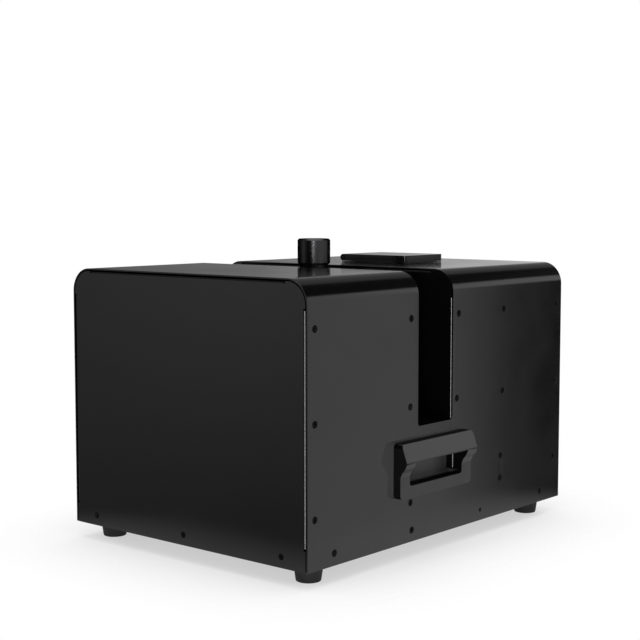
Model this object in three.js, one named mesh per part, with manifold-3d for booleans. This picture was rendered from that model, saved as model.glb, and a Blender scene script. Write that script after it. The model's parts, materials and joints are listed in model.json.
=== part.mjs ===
// A cold spark machine for the stage: a black sheet-metal casing on four rubber feet, cut by a
// slot in which a nozzle swings from side to side. Granules fall from a hopper into an auger,
// which feeds them through the rear trunnion into the heated head of the nozzle. A blower
// pushes air in through the front trunnion and carries the glowing sparks out of the nozzle.
// Millimetres, +Z up, the front faces -Y, and the origin is on the ground under the middle.
import * as THREE from 'three';
import * as BufferGeometryUtils from 'three/addons/utils/BufferGeometryUtils.js';
import Module from 'manifold-3d';

const wasm = await Module();
wasm.setup();

// Clearances and counts
const SEAT_GAP = 0.3;            // between pieces that rest on each other
const RUNNING_GAP = 0.35;        // round a turning shaft, on its radius
const CUT_OVERRUN = 3;           // how far a cutting solid runs past what it cuts
const WELD_OVERLAP = 0.4;        // how far joined forms of one piece run into each other
const FINE_SIDES = 32;
const ROUND_SIDES = 24;
const SMALL_SIDES = 12;
const PIN_SIDES = 8;
const BEND_STEPS = 8;
const CORNER_STEPS = 3;

// Casing
const CASE_WIDTH = 350;
const CASE_DEPTH = 475;
const CASE_HEIGHT = 290;
const CASE_BEND = 26;            // outside radius of the two top bends
const SHEET = 1.5;
const SEAM_GAP = 1.2;            // between the front panel and the shell round it
const FOLD_DEPTH = 20;           // depth of a panel's folded edges
const FOLD_BEND = 2.5;           // outside radius of a fold
const FOLD_RELIEF = 2;           // notch at each end of a fold
const FOLD_START = 24;           // the side folds start this far above the casing's bottom
const FOLD_CORNER_MARGIN = 5;    // the folds stop this far short of the bent corners

// Slot and swing axis
const SLOT_MIDDLE_SHARE = 213 / 475; // of the casing's depth, from its front
const SLOT_WIDTH = 64;
const SLOT_SILL = 124;           // the slot's bottom edge above the casing's bottom
const SLOT_CORNER = 4;
const SLOT_FLOOR_DROP = 2;       // the slot's floor lies this far under the sill
const SLOT_FLOOR_FOLD = 12;
const AXIS_OVER_SILL = 28;       // the swing axis above the sill

// Feet
const FOOT_HEIGHT = 18;
const FOOT_TOP_RADIUS = 15.7;
const FOOT_BOTTOM_RADIUS = 13.2;
const FOOT_EDGE = 1.4;
const FOOT_SCREW_RADIUS = 5;     // counterbore for the foot's screw
const FOOT_SCREW_DEPTH = 11;
const FOOT_SIDE_INSET = 27.5;
const FOOT_END_INSET = 33;

// Base tray
const TRAY_RIM = 22;
const TRAY_END_SETBACK = 1.8;    // behind the front panel's face
const VENT_LENGTH = 70;
const VENT_WIDTH = 5;
const VENT_PITCH = 13;
const VENT_COUNT = 5;
const VENT_FRONT_SHARE = 95 / 181;   // middle of the front vents, of the front bay's depth
const VENT_REAR_SHARE = 110 / 230;   // middle of the rear vents, of the rear bay's depth

// Rear panel
const REAR_RECESS = 20;          // from the rear edge of the shell to the panel's face
const BOTTOM_FOLD_INSET = 25;    // from the casing's sides to the bottom fold's ends

// Cross frame behind the slot
const FRAME_FACE_SHARE = 111.5 / 230; // of the rear bay's depth, from the slot
const FRAME_WINDOW_LEFT = 56;
const FRAME_WINDOW_RIGHT = 86;
const FRAME_WINDOW_OVER_AXIS = 14;

// Hand grips
const GRIP_BEFORE_SLOT = 42.5;   // from the grip's front end to the slot's front edge
const GRIP_LENGTH = 130.5;
const GRIP_BOTTOM = 51;          // above the casing's bottom
const GRIP_HEIGHT = 60;
const GRIP_CORNER = 5;
const GRIP_FRAME_RISE = 8.5;     // how far the lower frame stands out
const GRIP_HOOD_TOP_RISE = 9.9;
const GRIP_HOOD_LIP_RISE = 17;
const GRIP_LIP_HEIGHT = 39;      // the hood's lip above the grip's bottom edge
const GRIP_LIP_EDGE = 2;
const GRIP_CHEEK_HEIGHT = 24;    // where the cheeks run into the lower frame
const GRIP_POCKET_LENGTH = 96;
const GRIP_POCKET_FRONT = 16.5;  // from the grip's front end to the pocket
const GRIP_POCKET_BOTTOM = 13;
const GRIP_POCKET_TOP = 56;
const GRIP_POCKET_DEPTH = 12;    // behind the casing's side
const GRIP_HOOD_WALL = 4;
const GRIP_TUB_WALL = 2;
const GRIP_POCKET_CORNER = 4;

// Filler lid, its frame, hinge and seal
const LID_LEFT = 38;             // from the middle of the casing to the lid's left end
const LID_RIGHT = 62;
const LID_MIDDLE_SHARE = 100.4 / 230; // of the rear bay's depth, from the slot
const LID_LENGTH = 76.8;
const LID_TOP = 10.1;            // above the casing's top
const LID_CORNER = 5;
const LID_FRAME_THICKNESS = 1.5;
const LID_LIFT = 0.4;            // between the lid and its frame
const LID_BARREL_RADIUS = 4.1;
const LID_PIN_RADIUS = 1.4;
const LID_KNUCKLE_LENGTH = 24;
const LID_POCKET_DEPTH = 1.8;
const LID_SEAL_MARGIN = 5;       // from the lid's edges to its pocket
const LID_SEAL_BAND = 4;
const MOUTH_MARGIN = 10;         // from the lid's edges to the filler's mouth
const MOUTH_HINGE_MARGIN = 15;

// Hopper
const HOPPER_WALL = 1.5;
const HOPPER_RIM = 6;
const HOPPER_RIM_THICKNESS = 2;
const HOPPER_OUTLET_LENGTH = 30;
const HOPPER_OUTLET_WIDTH = 14;

// Nozzle
const HEAD_SIDE_GAP = 2;         // between the head and each wall of the slot
const HEAD_RADIUS = 24;
const HEAD_BOSS_RADIUS = 20;
const HEAD_BOSS_TOP = 40;        // above the swing axis
const NOZZLE_RADIUS = 16.5;
const NOZZLE_BORE = 11;
const TIP_RADIUS = 19;
const TIP_LENGTH = 29.8;
const TIP_OVER_CASE = 31.5;      // the tip's end above the casing's top
const TIP_CHAMFER = 1.8;
const TIP_SOCKET = 8;
const BAND_RADIUS = 19;
const BAND_LENGTH = 34;
const BAND_LIFT = 5;             // above the head's boss
const BAND_LUG_WIDTH = 10;
const BAND_LUG_REACH = 7;
const BAND_LUG_LENGTH = 24;

// Trunnions and bearings
const TRUNNION_RADIUS = 12;
const TRUNNION_BORE = 8.5;
const TRUNNION_SEAT = 10;        // how deep a trunnion sits in the head
const FRONT_TRUNNION_REACH = 39; // in front of the slot's front edge
const REAR_TRUNNION_REACH = 18;  // behind the slot's rear edge
const BEARING_SIZE = 52;
const BEARING_CORNER = 6;
const BEARING_FLANGE = 5;
const BEARING_BOSS_RADIUS = 19;
const BEARING_LENGTH = 12;

// Swing drive
const DRIVEN_RADIUS = 30;
const MOTOR_PULLEY_RADIUS = 10;
const PULLEY_WIDTH = 10;
const PULLEY_RIM = 2;
const PULLEY_RIM_WIDTH = 1;
const PULLEY_BACK_GAP = 23;      // from the slot's front edge to the pulleys
const PULLEY_SPACING = 75;
const DRIVEN_HOLE_RADIUS = 4;
const DRIVEN_HOLE_CIRCLE = 21;
const DRIVEN_HOLE_COUNT = 6;
const BELT_THICKNESS = 1.5;
const BELT_WIDTH = 7;
const MOTOR_SIZE = 42;
const MOTOR_LENGTH = 38;
const MOTOR_CORNER = 5;
const MOTOR_BOSS_RADIUS = 11;
const MOTOR_BOSS_LENGTH = 2;
const MOTOR_SHAFT_RADIUS = 2.5;
const MOTOR_SHAFT_DEPTH = 12;
const BRACKET_WIDTH = 50;
const BRACKET_HEIGHT = 54;
const BRACKET_SHEET = 3;
const BRACKET_TO_PULLEY = 9;     // from the bracket's rear side to the pulleys
const BRACKET_FOOT = 12;

// Feed
const FEED_TUBE_RADIUS = 8;
const FEED_TUBE_BORE = 6.3;
const FEED_TUBE_SETBACK = 1;     // behind the slot's rear edge
const FEED_MOTOR_GAP = 2;        // from the motor's end to the display board
const FEED_FLANGE_SIZE = 40;
const FEED_FLANGE_THICKNESS = 3;
const SADDLE_WIDTH = 26;
const SADDLE_TOP = 11;           // above the swing axis
const SADDLE_MARGIN = 5;
const AUGER_RADIUS = 6;
const AUGER_CORE = 2.6;
const AUGER_BLADE = 2.2;
const AUGER_PITCH = 25;
const AUGER_STEPS_PER_TURN = 8;
const AUGER_FRONT_SETBACK = 2;   // inside the tube's front end
const AUGER_REAR_SETBACK = 4;    // inside the tube's rear end
const AUGER_SHAFT_RADIUS = 3;
const AUGER_SHAFT_REACH = 9;     // behind the tube's rear end
const FEED_GEARBOX_RADIUS = 18.5;
const FEED_GEARBOX_LENGTH = 22;
const FEED_MOTOR_RADIUS = 16.5;
const FEED_MOTOR_LENGTH = 28;
const FEED_MOTOR_BORE_DEPTH = 14;

// Blower and air duct
const BLOWER_OFFSET = 28;        // from the middle plane of the casing to the blower's axis
const BLOWER_AXIS_HEIGHT = 62;   // above the casing's bottom
const BLOWER_BEFORE_SLOT = 88;   // from the blower's front to the slot's front edge
const BLOWER_WIDTH = 34;
const BLOWER_WALL = 2;
const BLOWER_OUTLET_HALF = 16;
const BLOWER_OUTLET_TOP = 116;   // above the casing's bottom
const BLOWER_INLET_RADIUS = 24;
const BLOWER_FOOT_WIDTH = 14;
const BLOWER_FOOT_SPREAD = 30;
const IMPELLER_RADIUS = 34;
const IMPELLER_INNER = 26;
const IMPELLER_HEIGHT = 24;
const IMPELLER_DISC = 2;
const IMPELLER_HUB = 7;
const IMPELLER_BLADES = 14;
const IMPELLER_BLADE_THICKNESS = 1.4;
const IMPELLER_BLADE_CHORD = 7;
const IMPELLER_BLADE_DEGREES = 35;
const IMPELLER_SHAFT = 2.5;
const IMPELLER_SHAFT_REACH = 12;
const IMPELLER_BACK_GAP = 1.5;
const BLOWER_MOTOR_RADIUS = 20;
const BLOWER_MOTOR_LENGTH = 26;
const DUCT_RADIUS = 11;
const DUCT_WALL = 2;
const DUCT_FLANGE = 3;
const DUCT_STEPS = 8;
const DUCT_END_GAP = 0.6;        // between the duct and the turning trunnion

// Fans in the rear panel
const FAN_SIZE = 80;
const FAN_DEPTH = 25;
const FAN_CORNER = 4;
const FAN_BORE = 38;
const FAN_HUB = 17;
const FAN_STRUT = 4;
const FAN_BACK = 4;
const FAN_STUB = 2.5;
const FAN_SIDE_MARGIN = 1;       // the fans stand midway from the display board to here
const FAN_DROP = 85;             // below the casing's top
const ROTOR_TIP_GAP = 1.2;
const ROTOR_HUB = 18;
const ROTOR_HUB_DEPTH = 18;
const ROTOR_BLADES = 7;
const ROTOR_BLADE_CHORD = 19;
const ROTOR_BLADE_THICKNESS = 1.8;
const ROTOR_BLADE_DEGREES = 52;
const GUARD_WIRE = 2;
const GUARD_RINGS = 3;
const GUARD_SPOKES = 4;
const GUARD_FIRST_SPOKE_DEGREES = 45;
const GUARD_LUG = 5;

// Electrics on the base tray
const SUPPLY_WIDTH = 97;
const SUPPLY_BEFORE_SLOT = 17;   // from its rear end to the slot's front edge
const SUPPLY_HEIGHT = 38;
const SUPPLY_SIDE_INSET = 12;
const SUPPLY_FRONT = 14;
const TERMINAL_DEPTH = 14;
const TERMINAL_HEIGHT = 14;
const BOARD_BLOWER_GAP = 9;
const BOARD_BEFORE_SLOT = 35;    // from its rear end to the slot's front edge
const BOARD_THICKNESS = 1.6;
const BOARD_STANDOFF = 6;
const BOARD_STANDOFF_RADIUS = 3;
const BOARD_STANDOFF_INSET = 6;
const BOARD_SIDE_INSET = 12;
const BOARD_FRONT = 16;
const HEATSINK_WIDTH = 30;
const HEATSINK_LENGTH = 50;
const HEATSINK_HEIGHT = 20;
const HEATSINK_FINS = 4;
const HEATSINK_BASE = 4;
const HEATSINK_INSET = 12;
const HEATSINK_FIN = 2;
const CAPACITOR_RADIUS = 8;
const CAPACITOR_HEIGHT = 22;
const CAPACITOR_PITCH = 20;
const PLUG_LENGTH = 40;
const PLUG_WIDTH = 10;
const PLUG_HEIGHT = 9;
const PLUG_BACK_INSET = 12;

// Display and buttons
const DISPLAY_DROP = 52;         // from the casing's top to the display's middle
const WINDOW_WIDTH = 78;
const WINDOW_HEIGHT = 28;
const WINDOW_THICKNESS = 2;
const WINDOW_CORNER = 2;
const DISPLAY_WIDTH = 72;
const DISPLAY_TALL = 24;
const DISPLAY_DEPTH = 8;
const DISPLAY_BOARD_WIDTH = 100;
const DISPLAY_BOARD_TOP = 20;    // above the display's middle
const DISPLAY_BOARD_MARGIN = 13; // below the buttons' middle
const DISPLAY_BOARD_GAP = 11;    // from the rear panel to the board
const DISPLAY_POST_RADIUS = 3;
const DISPLAY_POST_INSET = 5;
const BUTTON_DROP = 31;          // below the display's middle
const BUTTON_PITCH = 22;
const BUTTON_COUNT = 4;
const BUTTON_RADIUS = 4.5;
const BUTTON_PROUD = 3;
const BUTTON_COLLAR_RADIUS = 6;
const BUTTON_COLLAR = 1.5;
const BUTTON_STEM = 4;           // behind the collar
const BUTTON_SWITCH_RADIUS = 3;
const BUTTON_TRAVEL_ROOM = 1.8;  // from the stem to the switch on the board

// Connectors on the rear panel
const CONNECTOR_HEIGHT = 52;     // above the casing's bottom
const INLET_SIDE_INSET = 57;     // from the casing's left side to the inlet's middle
const INLET_FLANGE_WIDTH = 50;
const INLET_FLANGE_TALL = 24;
const INLET_FLANGE = 2.5;
const INLET_BODY_WIDTH = 28;
const INLET_BODY_TALL = 20;
const INLET_BODY_DEPTH = 26;
const INLET_WELL_WIDTH = 24;
const INLET_WELL_TALL = 16;
const INLET_WELL_DEPTH = 18;
const INLET_PIN_WIDTH = 2;
const INLET_PIN_TALL = 4;
const INLET_PIN_LENGTH = 11;
const INLET_PIN_SPACING = 7;
const INLET_PIN_RISE = 2;
const INLET_TO_FUSE = 44;
const FUSE_RADIUS = 6;
const FUSE_CAP_RADIUS = 8;
const FUSE_CAP_LENGTH = 9;
const FUSE_BODY_DEPTH = 26;
const FUSE_TO_ROCKER = 30;
const ROCKER_FRAME_WIDTH = 18;
const ROCKER_FRAME_TALL = 31;
const ROCKER_FRAME_FLANGE = 2;
const ROCKER_BODY_WIDTH = 14;
const ROCKER_BODY_TALL = 27;
const ROCKER_BODY_DEPTH = 20;
const ROCKER_WALL = 1.2;
const ROCKER_GAP = 0.4;
const ROCKER_PIVOT_DEPTH = 4;    // behind the rear panel's face
const ROCKER_RISE = 6.5;         // of its ends above the pin
const ROCKER_EDGE = 0.8;
const ROCKER_DISH = 0.8;
const ROCKER_BACK = 3;
const ROCKER_WELL_DEPTH = 15;
const ROCKER_TILT_DEGREES = 12;  // at rest
const ROCKER_PIN_RADIUS = 1.5;
const DATA_SIDE_INSET = 63;      // from the casing's right side to the data output's middle
const DATA_PITCH = 42;
const DATA_FLANGE_WIDTH = 26;
const DATA_FLANGE_TALL = 31;
const DATA_FLANGE = 2;
const DATA_CORNER = 3;
const DATA_BODY_RADIUS = 11.5;
const DATA_BODY_DEPTH = 24;
const DATA_WELL_RADIUS = 9;
const DATA_WELL_DEPTH = 14;
const DATA_PIN_RADIUS = 1.2;
const DATA_PIN_LENGTH = 8;
const DATA_PIN_CIRCLE = 4.2;
const DATA_PINS = 3;
const DATA_GROOVE = 2;
const LATCH_WIDTH = 9;
const LATCH_TALL = 3.6;
const LATCH_RISE = 1.4;          // its lower edge above the connector's round hole
const LATCH_PROUD = 1.8;
const LATCH_DEPTH = 6;
const PANEL_HOLE_MARGIN = 0.5;

// Places that follow from the sizes
const CASE_BOTTOM = FOOT_HEIGHT;
const CASE_TOP = CASE_BOTTOM + CASE_HEIGHT;
const HALF_WIDTH = CASE_WIDTH / 2;
const INNER_HALF = HALF_WIDTH - SHEET - SEAT_GAP;
const TRAY_TOP = CASE_BOTTOM + SHEET;
const fromFront = (distance) => distance - CASE_DEPTH / 2;
const aboveCase = (height) => CASE_BOTTOM + height;
const SLOT_FRONT = CASE_DEPTH * SLOT_MIDDLE_SHARE - SLOT_WIDTH / 2; // also the front bay's depth
const SLOT_REAR = SLOT_FRONT + SLOT_WIDTH;
const SLOT_MIDDLE = fromFront(SLOT_FRONT + SLOT_WIDTH / 2);
const REAR_BAY = CASE_DEPTH - SLOT_REAR;
const AXIS_HEIGHT = aboveCase(SLOT_SILL + AXIS_OVER_SILL);
const PANEL_BACK = CASE_DEPTH - REAR_RECESS;          // the rear panel's face, from the front
const PANEL_INSIDE = PANEL_BACK - SHEET;
const HEAD_HALF = SLOT_WIDTH / 2 - HEAD_SIDE_GAP;
const PULLEY_REAR = SLOT_FRONT - PULLEY_BACK_GAP;
const PULLEY_FRONT = PULLEY_REAR - PULLEY_WIDTH;
const FRAME_FACE = SLOT_REAR + REAR_BAY * FRAME_FACE_SHARE;
const GRIP_FRONT = SLOT_FRONT - GRIP_BEFORE_SLOT;
const LID_FRONT = SLOT_REAR + REAR_BAY * LID_MIDDLE_SHARE - LID_LENGTH / 2;
const MOUTH_LEFT = -LID_LEFT + MOUTH_HINGE_MARGIN;
const MOUTH_RIGHT = LID_RIGHT - MOUTH_MARGIN;
const MOUTH_FRONT = LID_FRONT + MOUTH_MARGIN;
const MOUTH_REAR = LID_FRONT + LID_LENGTH - MOUTH_MARGIN;
const MOUTH_MIDDLE = (MOUTH_FRONT + MOUTH_REAR) / 2;
const BARREL_X = -LID_LEFT + LID_BARREL_RADIUS;
const BARREL_Z = CASE_TOP + LID_TOP - LID_BARREL_RADIUS;
const DISPLAY_MIDDLE = CASE_TOP - DISPLAY_DROP;
const BUTTON_Z = DISPLAY_MIDDLE - BUTTON_DROP;
const DISPLAY_BOARD_FRONT = PANEL_INSIDE - SEAT_GAP - DISPLAY_BOARD_GAP;
const FEED_TUBE_FRONT = SLOT_REAR + FEED_TUBE_SETBACK;
const FEED_TUBE_REAR = DISPLAY_BOARD_FRONT - FEED_MOTOR_GAP
  - FEED_MOTOR_LENGTH - FEED_GEARBOX_LENGTH - SEAT_GAP;
const AUGER_REAR = FEED_TUBE_REAR - AUGER_REAR_SETBACK;
const FAN_OFFSET = (DISPLAY_BOARD_WIDTH / 2 + HALF_WIDTH - FAN_SIDE_MARGIN) / 2;
const FAN_Z = CASE_TOP - FAN_DROP;
const INLET_X = -HALF_WIDTH + INLET_SIDE_INSET;
const FUSE_X = INLET_X + INLET_TO_FUSE;
const ROCKER_X = FUSE_X + FUSE_TO_ROCKER;
const DATA_OUT_X = HALF_WIDTH - DATA_SIDE_INSET;
const DATA_IN_X = DATA_OUT_X - DATA_PITCH;
const BOTTOM_FOLD_HALF = HALF_WIDTH - BOTTOM_FOLD_INSET;
const FULL_TURN = Math.PI * 2;
const QUARTER = Math.PI / 2;
const degrees = (angle) => THREE.MathUtils.degToRad(angle);

// Turns a closed three.js geometry into a solid that can be joined and cut.
function toSolid(geometry) {
  const bare = geometry.clone();
  bare.deleteAttribute('normal');
  bare.deleteAttribute('uv');
  const merged = BufferGeometryUtils.mergeVertices(bare);
  const corners = merged.index.array;
  const kept = [];
  for (let i = 0; i < corners.length; i += 3) {
    const [a, b, c] = [corners[i], corners[i + 1], corners[i + 2]];
    if (a !== b && b !== c && c !== a) kept.push(a, b, c);
  }
  return new wasm.Manifold(new wasm.Mesh({
    numProp: 3,
    vertProperties: new Float32Array(merged.attributes.position.array),
    triVerts: new Uint32Array(kept),
  }));
}

// Turns a joined or cut solid back into a geometry.
function toGeometry(solid) {
  const mesh = solid.getMesh();
  const geometry = new THREE.BufferGeometry();
  geometry.setAttribute('position', new THREE.BufferAttribute(mesh.vertProperties, 3));
  geometry.setIndex(new THREE.BufferAttribute(mesh.triVerts, 1));
  geometry.computeVertexNormals();
  return geometry;
}

const joined = (first, ...others) => others.reduce((sum, other) => sum.add(other), first);
const cut = (first, ...others) => others.reduce((rest, other) => rest.subtract(other), first);

// A flat outline in two directions: for a prism along x they are y and z, along y x and z.
const outline = (points) => new THREE.Shape(points);
const point = (u, v) => new THREE.Vector2(u, v);

// Points of an arc, from one angle to another.
function arc(u, v, radius, start, end, steps) {
  const points = [];
  for (let i = 0; i <= steps; i += 1) {
    const angle = start + ((end - start) * i) / steps;
    points.push(point(u + radius * Math.cos(angle), v + radius * Math.sin(angle)));
  }
  return points;
}

const circle = (u, v, radius, sides) => arc(u, v, radius, 0, FULL_TURN, sides).slice(0, sides);

// A rectangle with the same rounding on all four corners.
function roundedRectangle(left, right, low, high, radius) {
  return [
    ...arc(left + radius, low + radius, radius, Math.PI, Math.PI + QUARTER, CORNER_STEPS),
    ...arc(right - radius, low + radius, radius, -QUARTER, 0, CORNER_STEPS),
    ...arc(right - radius, high - radius, radius, 0, QUARTER, CORNER_STEPS),
    ...arc(left + radius, high - radius, radius, QUARTER, Math.PI, CORNER_STEPS),
  ];
}

// A solid of one outline, drawn out along an axis from one place to another.
function prism(axis, points, start, end, holes = []) {
  const shape = outline(points);
  holes.forEach((hole) => shape.holes.push(new THREE.Path(hole)));
  const geometry = new THREE.ExtrudeGeometry(shape, { depth: end - start, bevelEnabled: false });
  if (axis === 'x') {
    geometry.applyMatrix4(new THREE.Matrix4().set(0, 0, 1, start, 1, 0, 0, 0, 0, 1, 0, 0, 0, 0, 0, 1));
  } else if (axis === 'y') {
    geometry.rotateX(QUARTER);
    geometry.translate(0, end, 0);
  } else {
    geometry.translate(0, 0, start);
  }
  return toSolid(geometry);
}

const rod = (axis, u, v, radius, start, end, sides = ROUND_SIDES) =>
  prism(axis, circle(u, v, radius, sides), start, end);

const ring = (axis, u, v, outer, inner, start, end, sides = ROUND_SIDES) =>
  prism(axis, circle(u, v, outer, sides), start, end, [circle(u, v, inner, sides)]);

function block(left, right, front, back, low, high) {
  const geometry = new THREE.BoxGeometry(right - left, back - front, high - low);
  geometry.translate((left + right) / 2, (front + back) / 2, (low + high) / 2);
  return toSolid(geometry);
}

// A box whose bottom and top are two different rectangles.
function taperedBlock(bottom, top) {
  const geometry = new THREE.BoxGeometry();
  const position = geometry.attributes.position;
  for (let i = 0; i < position.count; i += 1) {
    const face = position.getZ(i) > 0 ? top : bottom;
    const x = position.getX(i) > 0 ? face.right : face.left;
    const y = position.getY(i) > 0 ? face.back : face.front;
    position.setXYZ(i, x, y, face.height);
  }
  return toSolid(geometry);
}

// A solid turned from a closed profile of radius and height, standing on a place.
function turned(profile, x, y, sides = FINE_SIDES) {
  const geometry = new THREE.LatheGeometry([...profile, profile[0]], sides);
  geometry.rotateX(QUARTER);
  geometry.translate(x, y, 0);
  return toSolid(geometry);
}

// Materials
const finish = (color, roughness, metalness) =>
  new THREE.MeshStandardMaterial({ color, roughness, metalness, flatShading: true });
const blackPaint = () => finish(0x17181a, 0.45, 0.1);
const blackPlastic = () => finish(0x1a1a1b, 0.6, 0);
const blackRubber = () => finish(0x101010, 0.85, 0);
const brightSteel = () => finish(0xa8aaad, 0.35, 0.9);
const darkSteel = () => finish(0x4a4c50, 0.45, 0.85);
const aluminium = () => finish(0xb9bcc0, 0.4, 0.85);
const blackAluminium = () => finish(0x1d1e20, 0.4, 0.6);
const brass = () => finish(0xb08a45, 0.4, 0.9);
const zincSheet = () => finish(0x9ea2a6, 0.45, 0.8);
const boardGreen = () => finish(0x1f5a38, 0.5, 0.1);
const displayGlass = () => finish(0x0b0f14, 0.1, 0.2);
const siliconeSeal = () => finish(0x8a2f24, 0.7, 0);
const beltRubber = () => finish(0x151515, 0.8, 0);
const redPlastic = () => finish(0x9c1b1b, 0.4, 0);

const machine = new THREE.Group();

// Adds one finished piece to the machine under its own name.
function addPiece(name, solid, material) {
  const mesh = new THREE.Mesh(toGeometry(solid), material);
  mesh.name = name;
  machine.add(mesh);
  return mesh;
}

// The casing's cross-section, set in from its outside by the same distance all round.
function caseOutline(inset, bottom) {
  const side = HALF_WIDTH - inset;
  const top = CASE_TOP - inset;
  const bend = CASE_BEND - inset;
  return [
    point(-side, bottom),
    point(side, bottom),
    ...arc(side - bend, top - bend, bend, 0, QUARTER, BEND_STEPS),
    ...arc(-side + bend, top - bend, bend, QUARTER, Math.PI, BEND_STEPS),
  ];
}

// The rounded L of a folded sheet edge: u runs in from the fold's outside, v along the fold.
function foldProfile(place) {
  const inner = FOLD_BEND - SHEET;
  const outside = arc(FOLD_BEND, FOLD_BEND, FOLD_BEND, Math.PI, Math.PI + QUARTER, CORNER_STEPS);
  const inside = arc(FOLD_BEND, FOLD_BEND, inner, Math.PI + QUARTER, Math.PI, CORNER_STEPS);
  return [
    point(0, FOLD_DEPTH),
    ...outside,
    point(FOLD_BEND + SHEET, 0),
    point(FOLD_BEND + SHEET, SHEET),
    ...inside,
    point(SHEET, FOLD_DEPTH),
  ].map(place);
}

// A sheet panel that closes the casing's cross-section, with folded edges at both sides.
// face is the panel's outer side from the front, and the folds run towards heading.
function foldedPanel({ face, heading, inset, bottom, topFold = false, bottomFold = false }) {
  const faceY = fromFront(face);
  const backY = faceY + heading * SHEET;
  const side = HALF_WIDTH - inset;
  const top = CASE_TOP - inset;
  const low = Math.min(faceY, backY);
  const high = Math.max(faceY, backY);
  const foldLow = aboveCase(FOLD_START);
  const foldHigh = CASE_TOP - CASE_BEND - FOLD_CORNER_MARGIN;
  const foldHalf = HALF_WIDTH - CASE_BEND - FOLD_CORNER_MARGIN;
  let panel = prism('y', caseOutline(inset, bottom), low, high);
  [-1, 1].forEach((hand) => {
    const inner = hand * (side - FOLD_BEND);
    const outer = hand * (side + CUT_OVERRUN);
    panel = cut(panel, block(
      Math.min(inner, outer), Math.max(inner, outer), low - CUT_OVERRUN, high + CUT_OVERRUN,
      foldLow - FOLD_RELIEF, foldHigh + FOLD_RELIEF,
    ));
    const profile = foldProfile(({ x, y }) => point(hand * (side - x), faceY + heading * y));
    panel = joined(panel, prism('z', profile, foldLow, foldHigh));
  });
  if (topFold) {
    panel = cut(panel, block(
      -foldHalf - FOLD_RELIEF, foldHalf + FOLD_RELIEF, low - CUT_OVERRUN, high + CUT_OVERRUN,
      top - FOLD_BEND, top + CUT_OVERRUN,
    ));
    const profile = foldProfile(({ x, y }) => point(faceY + heading * y, top - x));
    panel = joined(panel, prism('x', profile, -foldHalf, foldHalf));
  }
  if (bottomFold) {
    panel = cut(panel, block(
      -BOTTOM_FOLD_HALF - FOLD_RELIEF, BOTTOM_FOLD_HALF + FOLD_RELIEF,
      low - CUT_OVERRUN, high + CUT_OVERRUN, bottom - CUT_OVERRUN, bottom + FOLD_BEND,
    ));
    const profile = foldProfile(({ x, y }) => point(faceY + heading * y, bottom + x));
    panel = joined(panel, prism('x', profile, -BOTTOM_FOLD_HALF, BOTTOM_FOLD_HALF));
  }
  return panel;
}

// Cuts the tray's rim and the two hand grips out of a panel that stands inside the casing.
function clearedForTrayAndGrips(panel, face, heading) {
  const faceY = fromFront(face);
  const foldY = faceY + heading * (FOLD_DEPTH + CUT_OVERRUN);
  const low = Math.min(faceY, foldY) - CUT_OVERRUN;
  const high = Math.max(faceY, foldY) + CUT_OVERRUN;
  const rimInside = INNER_HALF - SHEET - SEAT_GAP;
  const tubInside = HALF_WIDTH - GRIP_POCKET_DEPTH - GRIP_TUB_WALL - SEAT_GAP;
  const tubLow = aboveCase(GRIP_BOTTOM + GRIP_POCKET_BOTTOM - GRIP_TUB_WALL - SEAT_GAP);
  const tubHigh = aboveCase(GRIP_BOTTOM + GRIP_POCKET_TOP + GRIP_TUB_WALL + SEAT_GAP);
  const beyond = HALF_WIDTH + CUT_OVERRUN;
  return cut(
    panel,
    block(rimInside, beyond, low, high, 0, aboveCase(TRAY_RIM + SEAT_GAP)),
    block(-beyond, -rimInside, low, high, 0, aboveCase(TRAY_RIM + SEAT_GAP)),
    block(tubInside, beyond, low, high, tubLow, tubHigh),
    block(-beyond, -tubInside, low, high, tubLow, tubHigh),
  );
}

// Casing pieces

function outerShell() {
  const bent = prism(
    'y', [...caseOutline(0, CASE_BOTTOM).slice(1), point(-HALF_WIDTH, CASE_BOTTOM)],
    fromFront(0), fromFront(CASE_DEPTH),
  );
  const hollow = prism(
    'y', caseOutline(SHEET, CASE_BOTTOM - CUT_OVERRUN),
    fromFront(-CUT_OVERRUN), fromFront(CASE_DEPTH + CUT_OVERRUN),
  );
  const beyond = HALF_WIDTH + CUT_OVERRUN;
  const slot = prism('x', roundedRectangle(
    fromFront(SLOT_FRONT), fromFront(SLOT_REAR),
    aboveCase(SLOT_SILL), CASE_TOP + CASE_BEND, SLOT_CORNER,
  ), -beyond, beyond);
  const gripHoles = prism('x', roundedRectangle(
    fromFront(GRIP_FRONT + GRIP_POCKET_FRONT - GRIP_TUB_WALL - SEAT_GAP),
    fromFront(GRIP_FRONT + GRIP_POCKET_FRONT + GRIP_POCKET_LENGTH + GRIP_TUB_WALL + SEAT_GAP),
    aboveCase(GRIP_BOTTOM + GRIP_POCKET_BOTTOM - GRIP_TUB_WALL - SEAT_GAP),
    aboveCase(GRIP_BOTTOM + GRIP_POCKET_TOP + GRIP_TUB_WALL + SEAT_GAP),
    GRIP_POCKET_CORNER,
  ), -beyond, beyond);
  const mouth = block(
    MOUTH_LEFT, MOUTH_RIGHT, fromFront(MOUTH_FRONT), fromFront(MOUTH_REAR),
    CASE_TOP - CASE_BEND, CASE_TOP + CUT_OVERRUN,
  );
  return cut(bent, hollow, slot, gripHoles, mouth);
}

function frontPanel() {
  return foldedPanel({
    face: 0, heading: 1, inset: SHEET + SEAM_GAP, bottom: CASE_BOTTOM, topFold: true,
  });
}

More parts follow.
